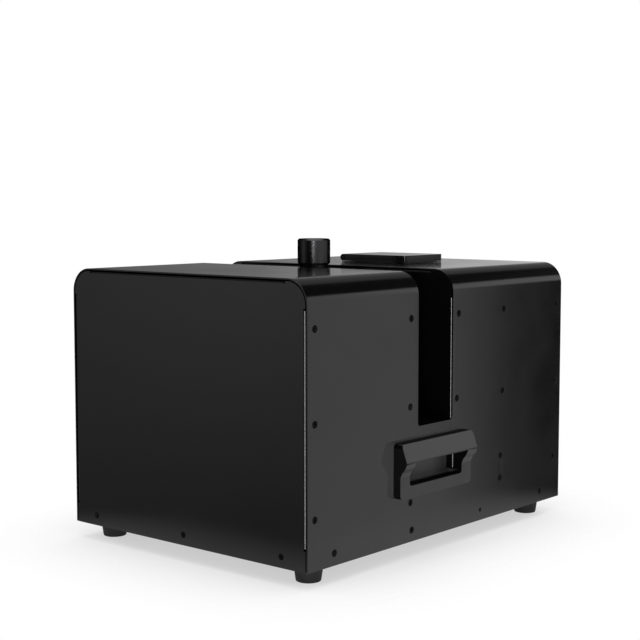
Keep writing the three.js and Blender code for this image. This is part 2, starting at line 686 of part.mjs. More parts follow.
function baseTray() {
  const front = fromFront(TRAY_END_SETBACK);
  const back = fromFront(PANEL_INSIDE - SEAT_GAP);
  const rimTop = aboveCase(TRAY_RIM);
  const vents = [];
  [SLOT_FRONT * VENT_FRONT_SHARE, SLOT_REAR + REAR_BAY * VENT_REAR_SHARE].forEach((middle) => {
    for (let i = 0; i < VENT_COUNT; i += 1) {
      const y = fromFront(middle + (i - (VENT_COUNT - 1) / 2) * VENT_PITCH);
      vents.push(prism('z', roundedRectangle(
        -VENT_LENGTH / 2, VENT_LENGTH / 2, y - VENT_WIDTH / 2, y + VENT_WIDTH / 2, VENT_WIDTH / 2,
      ), CASE_BOTTOM - CUT_OVERRUN, TRAY_TOP + CUT_OVERRUN));
    }
  });
  return cut(
    block(-INNER_HALF, INNER_HALF, front, back, CASE_BOTTOM, rimTop),
    block(
      -INNER_HALF + SHEET, INNER_HALF - SHEET, front + SHEET, back - SHEET,
      TRAY_TOP, rimTop + CUT_OVERRUN,
    ),
    ...vents,
  );
}

function frontBulkhead() {
  const panel = foldedPanel({
    face: SLOT_FRONT, heading: -1, inset: SHEET + SEAT_GAP, bottom: TRAY_TOP + SEAT_GAP,
    topFold: true,
  });
  return cut(
    clearedForTrayAndGrips(panel, SLOT_FRONT, -1),
    rod(
      'y', 0, AXIS_HEIGHT, TRUNNION_RADIUS + RUNNING_GAP + WELD_OVERLAP,
      fromFront(SLOT_FRONT - FOLD_DEPTH), fromFront(SLOT_FRONT + CUT_OVERRUN),
    ),
  );
}

function rearBulkhead() {
  const panel = foldedPanel({
    face: SLOT_REAR, heading: 1, inset: SHEET + SEAT_GAP, bottom: TRAY_TOP + SEAT_GAP,
    topFold: true,
  });
  return cut(
    clearedForTrayAndGrips(panel, SLOT_REAR, 1),
    rod(
      'y', 0, AXIS_HEIGHT, TRUNNION_RADIUS + RUNNING_GAP + WELD_OVERLAP,
      fromFront(SLOT_REAR - CUT_OVERRUN), fromFront(SLOT_REAR + FOLD_DEPTH),
    ),
  );
}

function slotFloor() {
  const front = fromFront(SLOT_FRONT + SEAT_GAP);
  const back = fromFront(SLOT_REAR - SEAT_GAP);
  const top = aboveCase(SLOT_SILL - SLOT_FLOOR_DROP);
  return prism('x', [
    point(front, top - SLOT_FLOOR_FOLD),
    point(front + SHEET, top - SLOT_FLOOR_FOLD),
    point(front + SHEET, top - SHEET),
    point(back - SHEET, top - SHEET),
    point(back - SHEET, top - SLOT_FLOOR_FOLD),
    point(back, top - SLOT_FLOOR_FOLD),
    point(back, top),
    point(front, top),
  ], -INNER_HALF, INNER_HALF);
}

// The plate behind the slot that steadies the hopper and the feed tube.
function crossFrame() {
  const panel = foldedPanel({
    face: FRAME_FACE, heading: -1, inset: SHEET + SEAT_GAP, bottom: TRAY_TOP + SEAT_GAP,
  });
  const front = fromFront(FRAME_FACE - FOLD_DEPTH);
  const back = fromFront(FRAME_FACE + CUT_OVERRUN);
  const rimInside = INNER_HALF - SHEET - SEAT_GAP;
  const beyond = HALF_WIDTH + CUT_OVERRUN;
  const rimTop = aboveCase(TRAY_RIM + SEAT_GAP);
  return cut(
    panel,
    block(rimInside, beyond, front, back, 0, rimTop),
    block(-beyond, -rimInside, front, back, 0, rimTop),
    block(
      -FRAME_WINDOW_LEFT, FRAME_WINDOW_RIGHT, front, back,
      AXIS_HEIGHT + FRAME_WINDOW_OVER_AXIS, CASE_TOP + CUT_OVERRUN,
    ),
    rod('y', 0, AXIS_HEIGHT, FEED_TUBE_RADIUS + SEAT_GAP, front, back),
    block(
      -SADDLE_WIDTH / 2 - SEAT_GAP, SADDLE_WIDTH / 2 + SEAT_GAP, front, back,
      AXIS_HEIGHT - SEAT_GAP, CASE_TOP,
    ),
  );
}

function rearPanel() {
  const panel = foldedPanel({
    face: PANEL_INSIDE, heading: 1, inset: SHEET + SEAT_GAP, bottom: CASE_BOTTOM + SEAT_GAP,
    topFold: true, bottomFold: true,
  });
  const front = fromFront(PANEL_INSIDE - CUT_OVERRUN);
  const back = fromFront(PANEL_BACK + CUT_OVERRUN);
  const row = aboveCase(CONNECTOR_HEIGHT);
  const holes = [-FAN_OFFSET, FAN_OFFSET].map((x) =>
    rod('y', x, FAN_Z, FAN_BORE, front, back, FINE_SIDES));
  [DATA_IN_X, DATA_OUT_X].forEach((x) => {
    holes.push(rod('y', x, row, DATA_BODY_RADIUS + PANEL_HOLE_MARGIN, front, back));
  });
  const latchLow = row + DATA_WELL_RADIUS + LATCH_RISE;
  holes.push(block(
    DATA_OUT_X - LATCH_WIDTH / 2 - PANEL_HOLE_MARGIN,
    DATA_OUT_X + LATCH_WIDTH / 2 + PANEL_HOLE_MARGIN,
    front, back, row, latchLow + LATCH_TALL + PANEL_HOLE_MARGIN,
  ));
  holes.push(rod('y', FUSE_X, row, FUSE_RADIUS + PANEL_HOLE_MARGIN, front, back));
  [
    [INLET_X, INLET_BODY_WIDTH, INLET_BODY_TALL],
    [ROCKER_X, ROCKER_BODY_WIDTH, ROCKER_BODY_TALL],
  ].forEach(([x, width, tall]) => {
    holes.push(block(
      x - width / 2 - PANEL_HOLE_MARGIN, x + width / 2 + PANEL_HOLE_MARGIN, front, back,
      row - tall / 2 - PANEL_HOLE_MARGIN, row + tall / 2 + PANEL_HOLE_MARGIN,
    ));
  });
  holes.push(block(
    -DISPLAY_WIDTH / 2 - PANEL_HOLE_MARGIN, DISPLAY_WIDTH / 2 + PANEL_HOLE_MARGIN, front, back,
    DISPLAY_MIDDLE - DISPLAY_TALL / 2 - PANEL_HOLE_MARGIN,
    DISPLAY_MIDDLE + DISPLAY_TALL / 2 + PANEL_HOLE_MARGIN,
  ));
  for (let i = 0; i < BUTTON_COUNT; i += 1) {
    holes.push(rod(
      'y', buttonX(i), BUTTON_Z, BUTTON_RADIUS + RUNNING_GAP, front, back, SMALL_SIDES,
    ));
  }
  return cut(panel, ...holes);
}

function foot(x, y) {
  return turned([
    point(FOOT_SCREW_RADIUS, 0),
    point(FOOT_BOTTOM_RADIUS - FOOT_EDGE, 0),
    point(FOOT_BOTTOM_RADIUS, FOOT_EDGE),
    point(FOOT_TOP_RADIUS, FOOT_HEIGHT - SEAT_GAP),
    point(0, FOOT_HEIGHT - SEAT_GAP),
    point(0, FOOT_SCREW_DEPTH),
    point(FOOT_SCREW_RADIUS, FOOT_SCREW_DEPTH),
  ], x, y, ROUND_SIDES);
}

// A moulded grip for one side: a hood to lift by over a pocket let into the casing.
// hand is 1 for the right side and -1 for the left.
function handGrip(hand) {
  const wall = HALF_WIDTH + SEAT_GAP;
  const low = aboveCase(GRIP_BOTTOM);
  const high = low + GRIP_HEIGHT;
  const front = fromFront(GRIP_FRONT);
  const back = front + GRIP_LENGTH;
  const lip = low + GRIP_LIP_HEIGHT;
  const cheek = low + GRIP_CHEEK_HEIGHT;
  const out = (rise, z) => point(hand * (wall + rise), z);
  const sweep = [];
  for (let i = 1; i < CORNER_STEPS; i += 1) {
    const share = i / CORNER_STEPS;
    const ease = THREE.MathUtils.smoothstep(share, 0, 1);
    sweep.push(out(
      THREE.MathUtils.lerp(GRIP_FRAME_RISE, GRIP_HOOD_LIP_RISE, ease),
      THREE.MathUtils.lerp(cheek, lip, share),
    ));
  }
  const body = prism('y', [
    out(0, low),
    out(GRIP_FRAME_RISE, low),
    out(GRIP_FRAME_RISE, cheek),
    ...sweep,
    out(GRIP_HOOD_LIP_RISE, lip),
    out(GRIP_HOOD_LIP_RISE, lip + GRIP_LIP_EDGE),
    out(GRIP_HOOD_TOP_RISE, high),
    out(0, high),
  ], front, back);
  const pocketFront = front + GRIP_POCKET_FRONT;
  const pocketBack = pocketFront + GRIP_POCKET_LENGTH;
  const pocketLow = low + GRIP_POCKET_BOTTOM;
  const pocketHigh = low + GRIP_POCKET_TOP;
  const tubBottom = -SEAT_GAP - GRIP_POCKET_DEPTH;
  const tubEnds = [hand * (wall + tubBottom - GRIP_TUB_WALL), hand * (wall + WELD_OVERLAP)];
  const tub = prism('x', roundedRectangle(
    pocketFront - GRIP_TUB_WALL, pocketBack + GRIP_TUB_WALL,
    pocketLow - GRIP_TUB_WALL, pocketHigh + GRIP_TUB_WALL, GRIP_POCKET_CORNER,
  ), Math.min(...tubEnds), Math.max(...tubEnds));
  const silhouetteEnds = [hand * (wall - SEAT_GAP), hand * (wall + GRIP_HOOD_LIP_RISE + CUT_OVERRUN)];
  const silhouette = prism('x', roundedRectangle(front, back, low, high, GRIP_CORNER),
    Math.min(...silhouetteEnds), Math.max(...silhouetteEnds));
  const pocket = prism('y', [
    out(tubBottom, pocketLow),
    out(GRIP_HOOD_LIP_RISE + CUT_OVERRUN, pocketLow),
    out(GRIP_HOOD_LIP_RISE + CUT_OVERRUN, lip),
    out(GRIP_HOOD_LIP_RISE - GRIP_HOOD_WALL, lip),
    out(GRIP_HOOD_TOP_RISE - GRIP_HOOD_WALL, pocketHigh),
    out(tubBottom, pocketHigh),
  ], pocketFront, pocketBack);
  return cut(joined(body.intersect(silhouette), tub), pocket);
}

// Filler pieces

function lidFrame() {
  const low = CASE_TOP + SEAT_GAP;
  const high = CASE_TOP + LID_FRAME_THICKNESS;
  const middle = fromFront(LID_FRONT + LID_LENGTH / 2);
  const half = LID_KNUCKLE_LENGTH / 2;
  const plate = prism('z', roundedRectangle(
    -LID_LEFT, LID_RIGHT, fromFront(LID_FRONT), fromFront(LID_FRONT + LID_LENGTH), LID_CORNER,
  ), low, high);
  const mouth = block(
    MOUTH_LEFT, MOUTH_RIGHT, fromFront(MOUTH_FRONT), fromFront(MOUTH_REAR),
    low - CUT_OVERRUN, high + CUT_OVERRUN,
  );
  const knuckle = joined(
    rod('y', BARREL_X, BARREL_Z, LID_BARREL_RADIUS, middle - half, middle + half, SMALL_SIDES),
    block(-LID_LEFT, BARREL_X, middle - half, middle + half, high - WELD_OVERLAP, BARREL_Z),
  );
  const pinHole = rod(
    'y', BARREL_X, BARREL_Z, LID_PIN_RADIUS + RUNNING_GAP,
    middle - half - CUT_OVERRUN, middle + half + CUT_OVERRUN, SMALL_SIDES,
  );
  return cut(joined(cut(plate, mouth), knuckle), pinHole);
}

function fillerLid() {
  const low = CASE_TOP + LID_FRAME_THICKNESS + LID_LIFT;
  const high = CASE_TOP + LID_TOP;
  const front = fromFront(LID_FRONT);
  const back = fromFront(LID_FRONT + LID_LENGTH);
  const middle = (front + back) / 2;
  const half = LID_KNUCKLE_LENGTH / 2 + RUNNING_GAP;
  const slab = joined(
    block(BARREL_X, LID_RIGHT - LID_CORNER, front, back, low, high),
    prism('z', roundedRectangle(BARREL_X, LID_RIGHT, front, back, LID_CORNER), low, high),
    rod('y', BARREL_X, BARREL_Z, LID_BARREL_RADIUS, front, back, SMALL_SIDES),
  );
  const pocket = block(
    MOUTH_LEFT - LID_SEAL_MARGIN, LID_RIGHT - LID_SEAL_MARGIN,
    front + LID_SEAL_MARGIN, back - LID_SEAL_MARGIN, low - CUT_OVERRUN, low + LID_POCKET_DEPTH,
  );
  const knuckleRoom = block(
    -LID_LEFT - CUT_OVERRUN, BARREL_X + LID_BARREL_RADIUS + RUNNING_GAP,
    middle - half, middle + half, low - CUT_OVERRUN, high + CUT_OVERRUN,
  );
  const pinHole = rod(
    'y', BARREL_X, BARREL_Z, LID_PIN_RADIUS + RUNNING_GAP,
    front - CUT_OVERRUN, back + CUT_OVERRUN, SMALL_SIDES,
  );
  return cut(slab, pocket, knuckleRoom, pinHole);
}

function lidHingePin() {
  return rod(
    'y', BARREL_X, BARREL_Z, LID_PIN_RADIUS,
    fromFront(LID_FRONT), fromFront(LID_FRONT + LID_LENGTH), SMALL_SIDES,
  );
}

function lidSeal() {
  const low = CASE_TOP + LID_FRAME_THICKNESS + SEAT_GAP;
  const high = CASE_TOP + LID_FRAME_THICKNESS + LID_LIFT + LID_POCKET_DEPTH - SEAT_GAP;
  const left = MOUTH_LEFT - LID_SEAL_MARGIN + SEAT_GAP;
  const right = LID_RIGHT - LID_SEAL_MARGIN - SEAT_GAP;
  const front = fromFront(LID_FRONT + LID_SEAL_MARGIN + SEAT_GAP);
  const back = fromFront(LID_FRONT + LID_LENGTH - LID_SEAL_MARGIN - SEAT_GAP);
  return cut(
    block(left, right, front, back, low, high),
    block(
      left + LID_SEAL_BAND, right - LID_SEAL_BAND, front + LID_SEAL_BAND, back - LID_SEAL_BAND,
      low - CUT_OVERRUN, high + CUT_OVERRUN,
    ),
  );
}

// A funnel from the filler's mouth down to the saddle of the feed tube.
function hopperFunnel() {
  const top = CASE_TOP - SHEET - SEAT_GAP;
  const bottom = AXIS_HEIGHT + SADDLE_TOP + SEAT_GAP;
  const rect = (left, right, front, back, height) => ({ left, right, front, back, height });
  const outlet = (grow, height) => rect(
    -HOPPER_OUTLET_WIDTH / 2 - grow, HOPPER_OUTLET_WIDTH / 2 + grow,
    fromFront(MOUTH_MIDDLE - HOPPER_OUTLET_LENGTH / 2 - grow),
    fromFront(MOUTH_MIDDLE + HOPPER_OUTLET_LENGTH / 2 + grow), height,
  );
  const mouth = (grow, height) => rect(
    MOUTH_LEFT - grow, MOUTH_RIGHT + grow,
    fromFront(MOUTH_FRONT - grow), fromFront(MOUTH_REAR + grow), height,
  );
  const rim = mouth(HOPPER_WALL + HOPPER_RIM, top);
  const outside = joined(
    taperedBlock(outlet(HOPPER_WALL, bottom), mouth(HOPPER_WALL, top - WELD_OVERLAP)),
    block(rim.left, rim.right, rim.front, rim.back, top - HOPPER_RIM_THICKNESS, top),
  );
  return cut(
    outside,
    taperedBlock(outlet(0, bottom - WELD_OVERLAP), mouth(0, top + WELD_OVERLAP)),
  );
}

// Nozzle pieces

function nozzleHead() {
  const front = SLOT_MIDDLE - HEAD_HALF;
  const back = SLOT_MIDDLE + HEAD_HALF;
  const bossTop = AXIS_HEIGHT + HEAD_BOSS_TOP;
  return cut(
    joined(
      rod('y', 0, AXIS_HEIGHT, HEAD_RADIUS, front, back, FINE_SIDES),
      rod('z', 0, SLOT_MIDDLE, HEAD_BOSS_RADIUS, AXIS_HEIGHT, bossTop, FINE_SIDES),
    ),
    rod(
      'y', 0, AXIS_HEIGHT, TRUNNION_RADIUS + SEAT_GAP,
      front - CUT_OVERRUN, back + CUT_OVERRUN,
    ),
    rod('z', 0, SLOT_MIDDLE, NOZZLE_BORE, AXIS_HEIGHT, bossTop + CUT_OVERRUN),
  );
}

const TIP_TOP = CASE_TOP + TIP_OVER_CASE;
const TIP_BOTTOM = TIP_TOP - TIP_LENGTH;

function nozzleTube() {
  return ring(
    'z', 0, SLOT_MIDDLE, NOZZLE_RADIUS, NOZZLE_BORE,
    AXIS_HEIGHT + HEAD_BOSS_TOP + SEAT_GAP, TIP_BOTTOM + TIP_SOCKET - SEAT_GAP,
  );
}

function nozzleTip() {
  const socket = NOZZLE_RADIUS + SEAT_GAP;
  return turned([
    point(socket, TIP_BOTTOM),
    point(TIP_RADIUS - TIP_CHAMFER, TIP_BOTTOM),
    point(TIP_RADIUS, TIP_BOTTOM + TIP_CHAMFER),
    point(TIP_RADIUS, TIP_TOP - TIP_CHAMFER),
    point(TIP_RADIUS - TIP_CHAMFER, TIP_TOP),
    point(NOZZLE_BORE, TIP_TOP),
    point(NOZZLE_BORE, TIP_BOTTOM + TIP_SOCKET),
    point(socket, TIP_BOTTOM + TIP_SOCKET),
  ], 0, SLOT_MIDDLE);
}

function heaterBand() {
  const low = AXIS_HEIGHT + HEAD_BOSS_TOP + BAND_LIFT;
  const high = low + BAND_LENGTH;
  const lugLow = low + (BAND_LENGTH - BAND_LUG_LENGTH) / 2;
  return cut(
    joined(
      rod('z', 0, SLOT_MIDDLE, BAND_RADIUS, low, high),
      block(
        -BAND_LUG_WIDTH / 2, BAND_LUG_WIDTH / 2, SLOT_MIDDLE,
        SLOT_MIDDLE + BAND_RADIUS + BAND_LUG_REACH, lugLow, lugLow + BAND_LUG_LENGTH,
      ),
    ),
    rod(
      'z', 0, SLOT_MIDDLE, NOZZLE_RADIUS + SEAT_GAP, low - CUT_OVERRUN, high + CUT_OVERRUN,
    ),
  );
}

function frontTrunnion() {
  return ring(
    'y', 0, AXIS_HEIGHT, TRUNNION_RADIUS, TRUNNION_BORE,
    fromFront(SLOT_FRONT - FRONT_TRUNNION_REACH), SLOT_MIDDLE - HEAD_HALF + TRUNNION_SEAT,
  );
}

function rearTrunnion() {
  return ring(
    'y', 0, AXIS_HEIGHT, TRUNNION_RADIUS, TRUNNION_BORE,
    SLOT_MIDDLE + HEAD_HALF - TRUNNION_SEAT, fromFront(SLOT_REAR + REAR_TRUNNION_REACH),
  );
}

// A flange bearing on the compartment side of a bulkhead; heading points away from the slot.
function flangeBearing(edge, heading) {
  const seat = fromFront(edge) + heading * (SHEET + SEAT_GAP);
  const flangeEnd = seat + heading * BEARING_FLANGE;
  const bossEnd = seat + heading * BEARING_LENGTH;
  const half = BEARING_SIZE / 2;
  const ends = (a, b) => [Math.min(a, b), Math.max(a, b)];
  return cut(
    joined(
      prism('y', roundedRectangle(
        -half, half, AXIS_HEIGHT - half, AXIS_HEIGHT + half, BEARING_CORNER,
      ), ...ends(seat, flangeEnd)),
      rod('y', 0, AXIS_HEIGHT, BEARING_BOSS_RADIUS, ...ends(seat, bossEnd)),
    ),
    rod(
      'y', 0, AXIS_HEIGHT, TRUNNION_RADIUS + RUNNING_GAP,
      ...ends(seat - heading * CUT_OVERRUN, bossEnd + heading * CUT_OVERRUN),
    ),
  );
}

// Swing drive

// A belt pulley: its two rims stand a little above the belt's seat.
function pulleyBody(x, radius, sides) {
  const front = fromFront(PULLEY_FRONT);
  const back = fromFront(PULLEY_REAR);
  return joined(
    rod('y', x, AXIS_HEIGHT, radius, front, back, sides),
    rod('y', x, AXIS_HEIGHT, radius + PULLEY_RIM, front, front + PULLEY_RIM_WIDTH, sides),
    rod('y', x, AXIS_HEIGHT, radius + PULLEY_RIM, back - PULLEY_RIM_WIDTH, back, sides),
  );
}

function drivenPulley() {
  const front = fromFront(PULLEY_FRONT - CUT_OVERRUN);
  const back = fromFront(PULLEY_REAR + CUT_OVERRUN);
  const holes = [];
  for (let i = 0; i < DRIVEN_HOLE_COUNT; i += 1) {
    const angle = (FULL_TURN * i) / DRIVEN_HOLE_COUNT;
    holes.push(rod(
      'y', DRIVEN_HOLE_CIRCLE * Math.cos(angle),
      AXIS_HEIGHT + DRIVEN_HOLE_CIRCLE * Math.sin(angle), DRIVEN_HOLE_RADIUS, front, back, PIN_SIDES,
    ));
  }
  return cut(
    pulleyBody(0, DRIVEN_RADIUS, FINE_SIDES),
    rod('y', 0, AXIS_HEIGHT, TRUNNION_RADIUS + SEAT_GAP, front, back),
    ...holes,
  );
}

const MOTOR_FACE = PULLEY_FRONT - BRACKET_TO_PULLEY - BRACKET_SHEET;

// The motor's pulley with its shaft, which runs forward into the motor.
function motorPulley() {
  return joined(
    pulleyBody(PULLEY_SPACING, MOTOR_PULLEY_RADIUS, SMALL_SIDES),
    rod(
      'y', PULLEY_SPACING, AXIS_HEIGHT, MOTOR_SHAFT_RADIUS,
      fromFront(MOTOR_FACE - MOTOR_SHAFT_DEPTH), fromFront(PULLEY_FRONT + PULLEY_RIM_WIDTH),
      SMALL_SIDES,
    ),
  );
}

// The belt's line round both pulleys, at a distance outside their seats.
function beltLine(grow) {
  const large = DRIVEN_RADIUS + grow;
  const small = MOTOR_PULLEY_RADIUS + grow;
  const lean = Math.acos((large - small) / PULLEY_SPACING);
  return [
    ...arc(0, AXIS_HEIGHT, large, lean, FULL_TURN - lean, ROUND_SIDES),
    ...arc(PULLEY_SPACING, AXIS_HEIGHT, small, -lean, lean, BEND_STEPS),
  ];
}

function driveBelt() {
  const middle = fromFront((PULLEY_FRONT + PULLEY_REAR) / 2);
  const half = BELT_WIDTH / 2;
  return prism(
    'y', beltLine(RUNNING_GAP + BELT_THICKNESS), middle - half, middle + half,
    [beltLine(RUNNING_GAP)],
  );
}

function swingMotor() {
  const back = fromFront(MOTOR_FACE - SEAT_GAP);
  const half = MOTOR_SIZE / 2;
  return cut(
    joined(
      prism('y', roundedRectangle(
        PULLEY_SPACING - half, PULLEY_SPACING + half,
        AXIS_HEIGHT - half, AXIS_HEIGHT + half, MOTOR_CORNER,
      ), back - MOTOR_LENGTH, back),
      rod(
        'y', PULLEY_SPACING, AXIS_HEIGHT, MOTOR_BOSS_RADIUS,
        back - WELD_OVERLAP, back + MOTOR_BOSS_LENGTH,
      ),
    ),
    rod(
      'y', PULLEY_SPACING, AXIS_HEIGHT, MOTOR_SHAFT_RADIUS + RUNNING_GAP,
      back - MOTOR_SHAFT_DEPTH - CUT_OVERRUN, back + CUT_OVERRUN, SMALL_SIDES,
    ),
  );
}

// A folded bracket that holds the motor in front of the pulleys.
function motorBracket() {
  const face = fromFront(MOTOR_FACE);
  const seat = fromFront(SLOT_FRONT) - SHEET - SEAT_GAP;
  const left = PULLEY_SPACING - BRACKET_WIDTH / 2;
  const right = PULLEY_SPACING + BRACKET_WIDTH / 2;
  const low = AXIS_HEIGHT - BRACKET_HEIGHT / 2;
  const high = AXIS_HEIGHT + BRACKET_HEIGHT / 2;
  const profile = [
    point(seat, low - BRACKET_FOOT),
    point(seat, low + BRACKET_SHEET),
    point(face + BRACKET_SHEET, low + BRACKET_SHEET),
    point(face + BRACKET_SHEET, high - BRACKET_SHEET),
    point(seat, high - BRACKET_SHEET),
    point(seat, high + BRACKET_FOOT),
    point(seat - BRACKET_SHEET, high + BRACKET_FOOT),
    point(seat - BRACKET_SHEET, high),
    point(face, high),
    point(face, low),
    point(seat - BRACKET_SHEET, low),
    point(seat - BRACKET_SHEET, low - BRACKET_FOOT),
  ];
  return cut(
    prism('x', profile, left, right),
    rod(
      'y', PULLEY_SPACING, AXIS_HEIGHT, MOTOR_BOSS_RADIUS + SEAT_GAP,
      face - CUT_OVERRUN, face + BRACKET_SHEET + CUT_OVERRUN,
    ),
  );
}

// Feed pieces

const SADDLE_HALF = HOPPER_OUTLET_LENGTH / 2 + SADDLE_MARGIN;

function feedTube() {
  const front = fromFront(FEED_TUBE_FRONT);
  const back = fromFront(FEED_TUBE_REAR);
  const middle = fromFront(MOUTH_MIDDLE);
  const half = FEED_FLANGE_SIZE / 2;
  return cut(
    joined(
      rod('y', 0, AXIS_HEIGHT, FEED_TUBE_RADIUS, front, back),
      block(
        -half, half, back - FEED_FLANGE_THICKNESS, back, AXIS_HEIGHT - half, AXIS_HEIGHT + half,
      ),
      block(
        -SADDLE_WIDTH / 2, SADDLE_WIDTH / 2, middle - SADDLE_HALF, middle + SADDLE_HALF,
        AXIS_HEIGHT, AXIS_HEIGHT + SADDLE_TOP,
      ),
    ),
    rod('y', 0, AXIS_HEIGHT, FEED_TUBE_BORE, front - CUT_OVERRUN, back + CUT_OVERRUN),
    block(
      -FEED_TUBE_BORE, FEED_TUBE_BORE, middle - HOPPER_OUTLET_LENGTH / 2,
      middle + HOPPER_OUTLET_LENGTH / 2, AXIS_HEIGHT, AXIS_HEIGHT + SADDLE_TOP + CUT_OVERRUN,
    ),
  );
}

// A twisted blade on a core, which turns in the feed tube and pushes the granules forward.
function feedAuger() {
  const length = AUGER_REAR - FEED_TUBE_FRONT - AUGER_FRONT_SETBACK;
  const turns = length / AUGER_PITCH;
  const steps = Math.round(turns * AUGER_STEPS_PER_TURN);
  const lean = Math.asin(AUGER_BLADE / 2 / AUGER_RADIUS);
  const waist = Math.asin(AUGER_BLADE / 2 / AUGER_CORE);
  const section = [
    ...arc(0, 0, AUGER_RADIUS, -lean, lean, 1),
    ...arc(0, 0, AUGER_CORE, waist, Math.PI - waist, 2),
    ...arc(0, 0, AUGER_RADIUS, Math.PI - lean, Math.PI + lean, 1),
    ...arc(0, 0, AUGER_CORE, Math.PI + waist, FULL_TURN - waist, 2),
  ];
  const geometry = new THREE.ExtrudeGeometry(
    outline(section), { depth: length, steps, bevelEnabled: false },
  );
  const position = geometry.attributes.position;
  const place = new THREE.Vector3();
  const up = new THREE.Vector3(0, 0, 1);
  for (let i = 0; i < position.count; i += 1) {
    place.fromBufferAttribute(position, i);
    place.applyAxisAngle(up, (place.z / AUGER_PITCH) * FULL_TURN);
    position.setXYZ(i, place.x, place.y, place.z);
  }
  geometry.rotateX(QUARTER);
  geometry.translate(0, fromFront(AUGER_REAR), AXIS_HEIGHT);
  return joined(
    toSolid(geometry),
    rod(
      'y', 0, AXIS_HEIGHT, AUGER_SHAFT_RADIUS,
      fromFront(AUGER_REAR) - WELD_OVERLAP, fromFront(FEED_TUBE_REAR + AUGER_SHAFT_REACH),
      SMALL_SIDES,
    ),
  );
}

function feedMotor() {
  const front = fromFront(FEED_TUBE_REAR + SEAT_GAP);
  const middle = front + FEED_GEARBOX_LENGTH;
  return cut(
    joined(
      rod('y', 0, AXIS_HEIGHT, FEED_GEARBOX_RADIUS, front, middle),
      rod('y', 0, AXIS_HEIGHT, FEED_MOTOR_RADIUS, middle, middle + FEED_MOTOR_LENGTH),
    ),
    rod(
      'y', 0, AXIS_HEIGHT, AUGER_SHAFT_RADIUS + RUNNING_GAP,
      front - CUT_OVERRUN, front + FEED_MOTOR_BORE_DEPTH, SMALL_SIDES,
    ),
  );
}

// Blower pieces

const BLOWER_Z = aboveCase(BLOWER_AXIS_HEIGHT);
const BLOWER_FRONT = SLOT_FRONT - BLOWER_BEFORE_SLOT;
const BLOWER_BACK = BLOWER_FRONT + BLOWER_WIDTH;
const BLOWER_RADIUS = BLOWER_OFFSET + BLOWER_OUTLET_HALF;

// The blower's side outline: a round body whose left side runs straight up into the outlet.
function blowerOutline(inset) {
  const radius = BLOWER_RADIUS - inset;
  const left = -BLOWER_OUTLET_HALF + inset;
  const right = BLOWER_OUTLET_HALF - inset;
  const top = aboveCase(BLOWER_OUTLET_TOP) + (inset > 0 ? CUT_OVERRUN : 0);
  const start = Math.acos((right - BLOWER_OFFSET) / radius);
  return [
    ...arc(BLOWER_OFFSET, BLOWER_Z, radius, start, -Math.PI, ROUND_SIDES),
    point(left, top),
    point(right, top),
  ];
}

function blowerHousing() {
  const front = fromFront(BLOWER_FRONT);
  const back = fromFront(BLOWER_BACK);
  const feet = [-BLOWER_FOOT_SPREAD, BLOWER_FOOT_SPREAD].map((offset) => block(
    BLOWER_OFFSET + offset - BLOWER_FOOT_WIDTH / 2, BLOWER_OFFSET + offset + BLOWER_FOOT_WIDTH / 2,
    front, back, TRAY_TOP + SEAT_GAP, BLOWER_Z - BLOWER_RADIUS / 2,
  ));
  return cut(
    joined(prism('y', blowerOutline(0), front, back), ...feet),
    prism('y', blowerOutline(BLOWER_WALL), front + BLOWER_WALL, back - BLOWER_WALL),
    rod(
      'y', BLOWER_OFFSET, BLOWER_Z, BLOWER_INLET_RADIUS, front - CUT_OVERRUN,
      front + BLOWER_WALL + CUT_OVERRUN,
    ),
    rod(
      'y', BLOWER_OFFSET, BLOWER_Z, IMPELLER_SHAFT + RUNNING_GAP, back - BLOWER_WALL - CUT_OVERRUN,
      back + CUT_OVERRUN, SMALL_SIDES,
    ),
  );
}

function blowerImpeller() {
  const back = fromFront(BLOWER_BACK - BLOWER_WALL - IMPELLER_BACK_GAP);
  const front = back - IMPELLER_HEIGHT;
  let wheel = joined(
    rod('y', BLOWER_OFFSET, BLOWER_Z, IMPELLER_RADIUS, back - IMPELLER_DISC, back),
    rod('y', BLOWER_OFFSET, BLOWER_Z, IMPELLER_HUB, front + IMPELLER_HEIGHT / 2, back, SMALL_SIDES),
    rod(
      'y', BLOWER_OFFSET, BLOWER_Z, IMPELLER_SHAFT, back - WELD_OVERLAP,
      back + IMPELLER_SHAFT_REACH, SMALL_SIDES,
    ),
    ring(
      'y', BLOWER_OFFSET, BLOWER_Z, IMPELLER_RADIUS, IMPELLER_INNER, front, front + IMPELLER_DISC,
    ),
  );
  const middle = (IMPELLER_RADIUS + IMPELLER_INNER) / 2;
  const span = IMPELLER_HEIGHT - IMPELLER_DISC;
  for (let i = 0; i < IMPELLER_BLADES; i += 1) {
    const blade = new THREE.BoxGeometry(IMPELLER_BLADE_CHORD, span, IMPELLER_BLADE_THICKNESS);
    blade.rotateY(degrees(IMPELLER_BLADE_DEGREES));
    blade.translate(middle, 0, 0);
    blade.rotateY((FULL_TURN * i) / IMPELLER_BLADES);
    blade.translate(BLOWER_OFFSET, (front + back) / 2, BLOWER_Z);
    wheel = joined(wheel, toSolid(blade));
  }
  return wheel;
}

function blowerMotor() {
  const front = fromFront(BLOWER_BACK + SEAT_GAP);
  return cut(
    rod('y', BLOWER_OFFSET, BLOWER_Z, BLOWER_MOTOR_RADIUS, front, front + BLOWER_MOTOR_LENGTH),
    rod(
      'y', BLOWER_OFFSET, BLOWER_Z, IMPELLER_SHAFT + RUNNING_GAP, front - CUT_OVERRUN,
      front + IMPELLER_SHAFT_REACH + CUT_OVERRUN, SMALL_SIDES,
    ),
  );
}

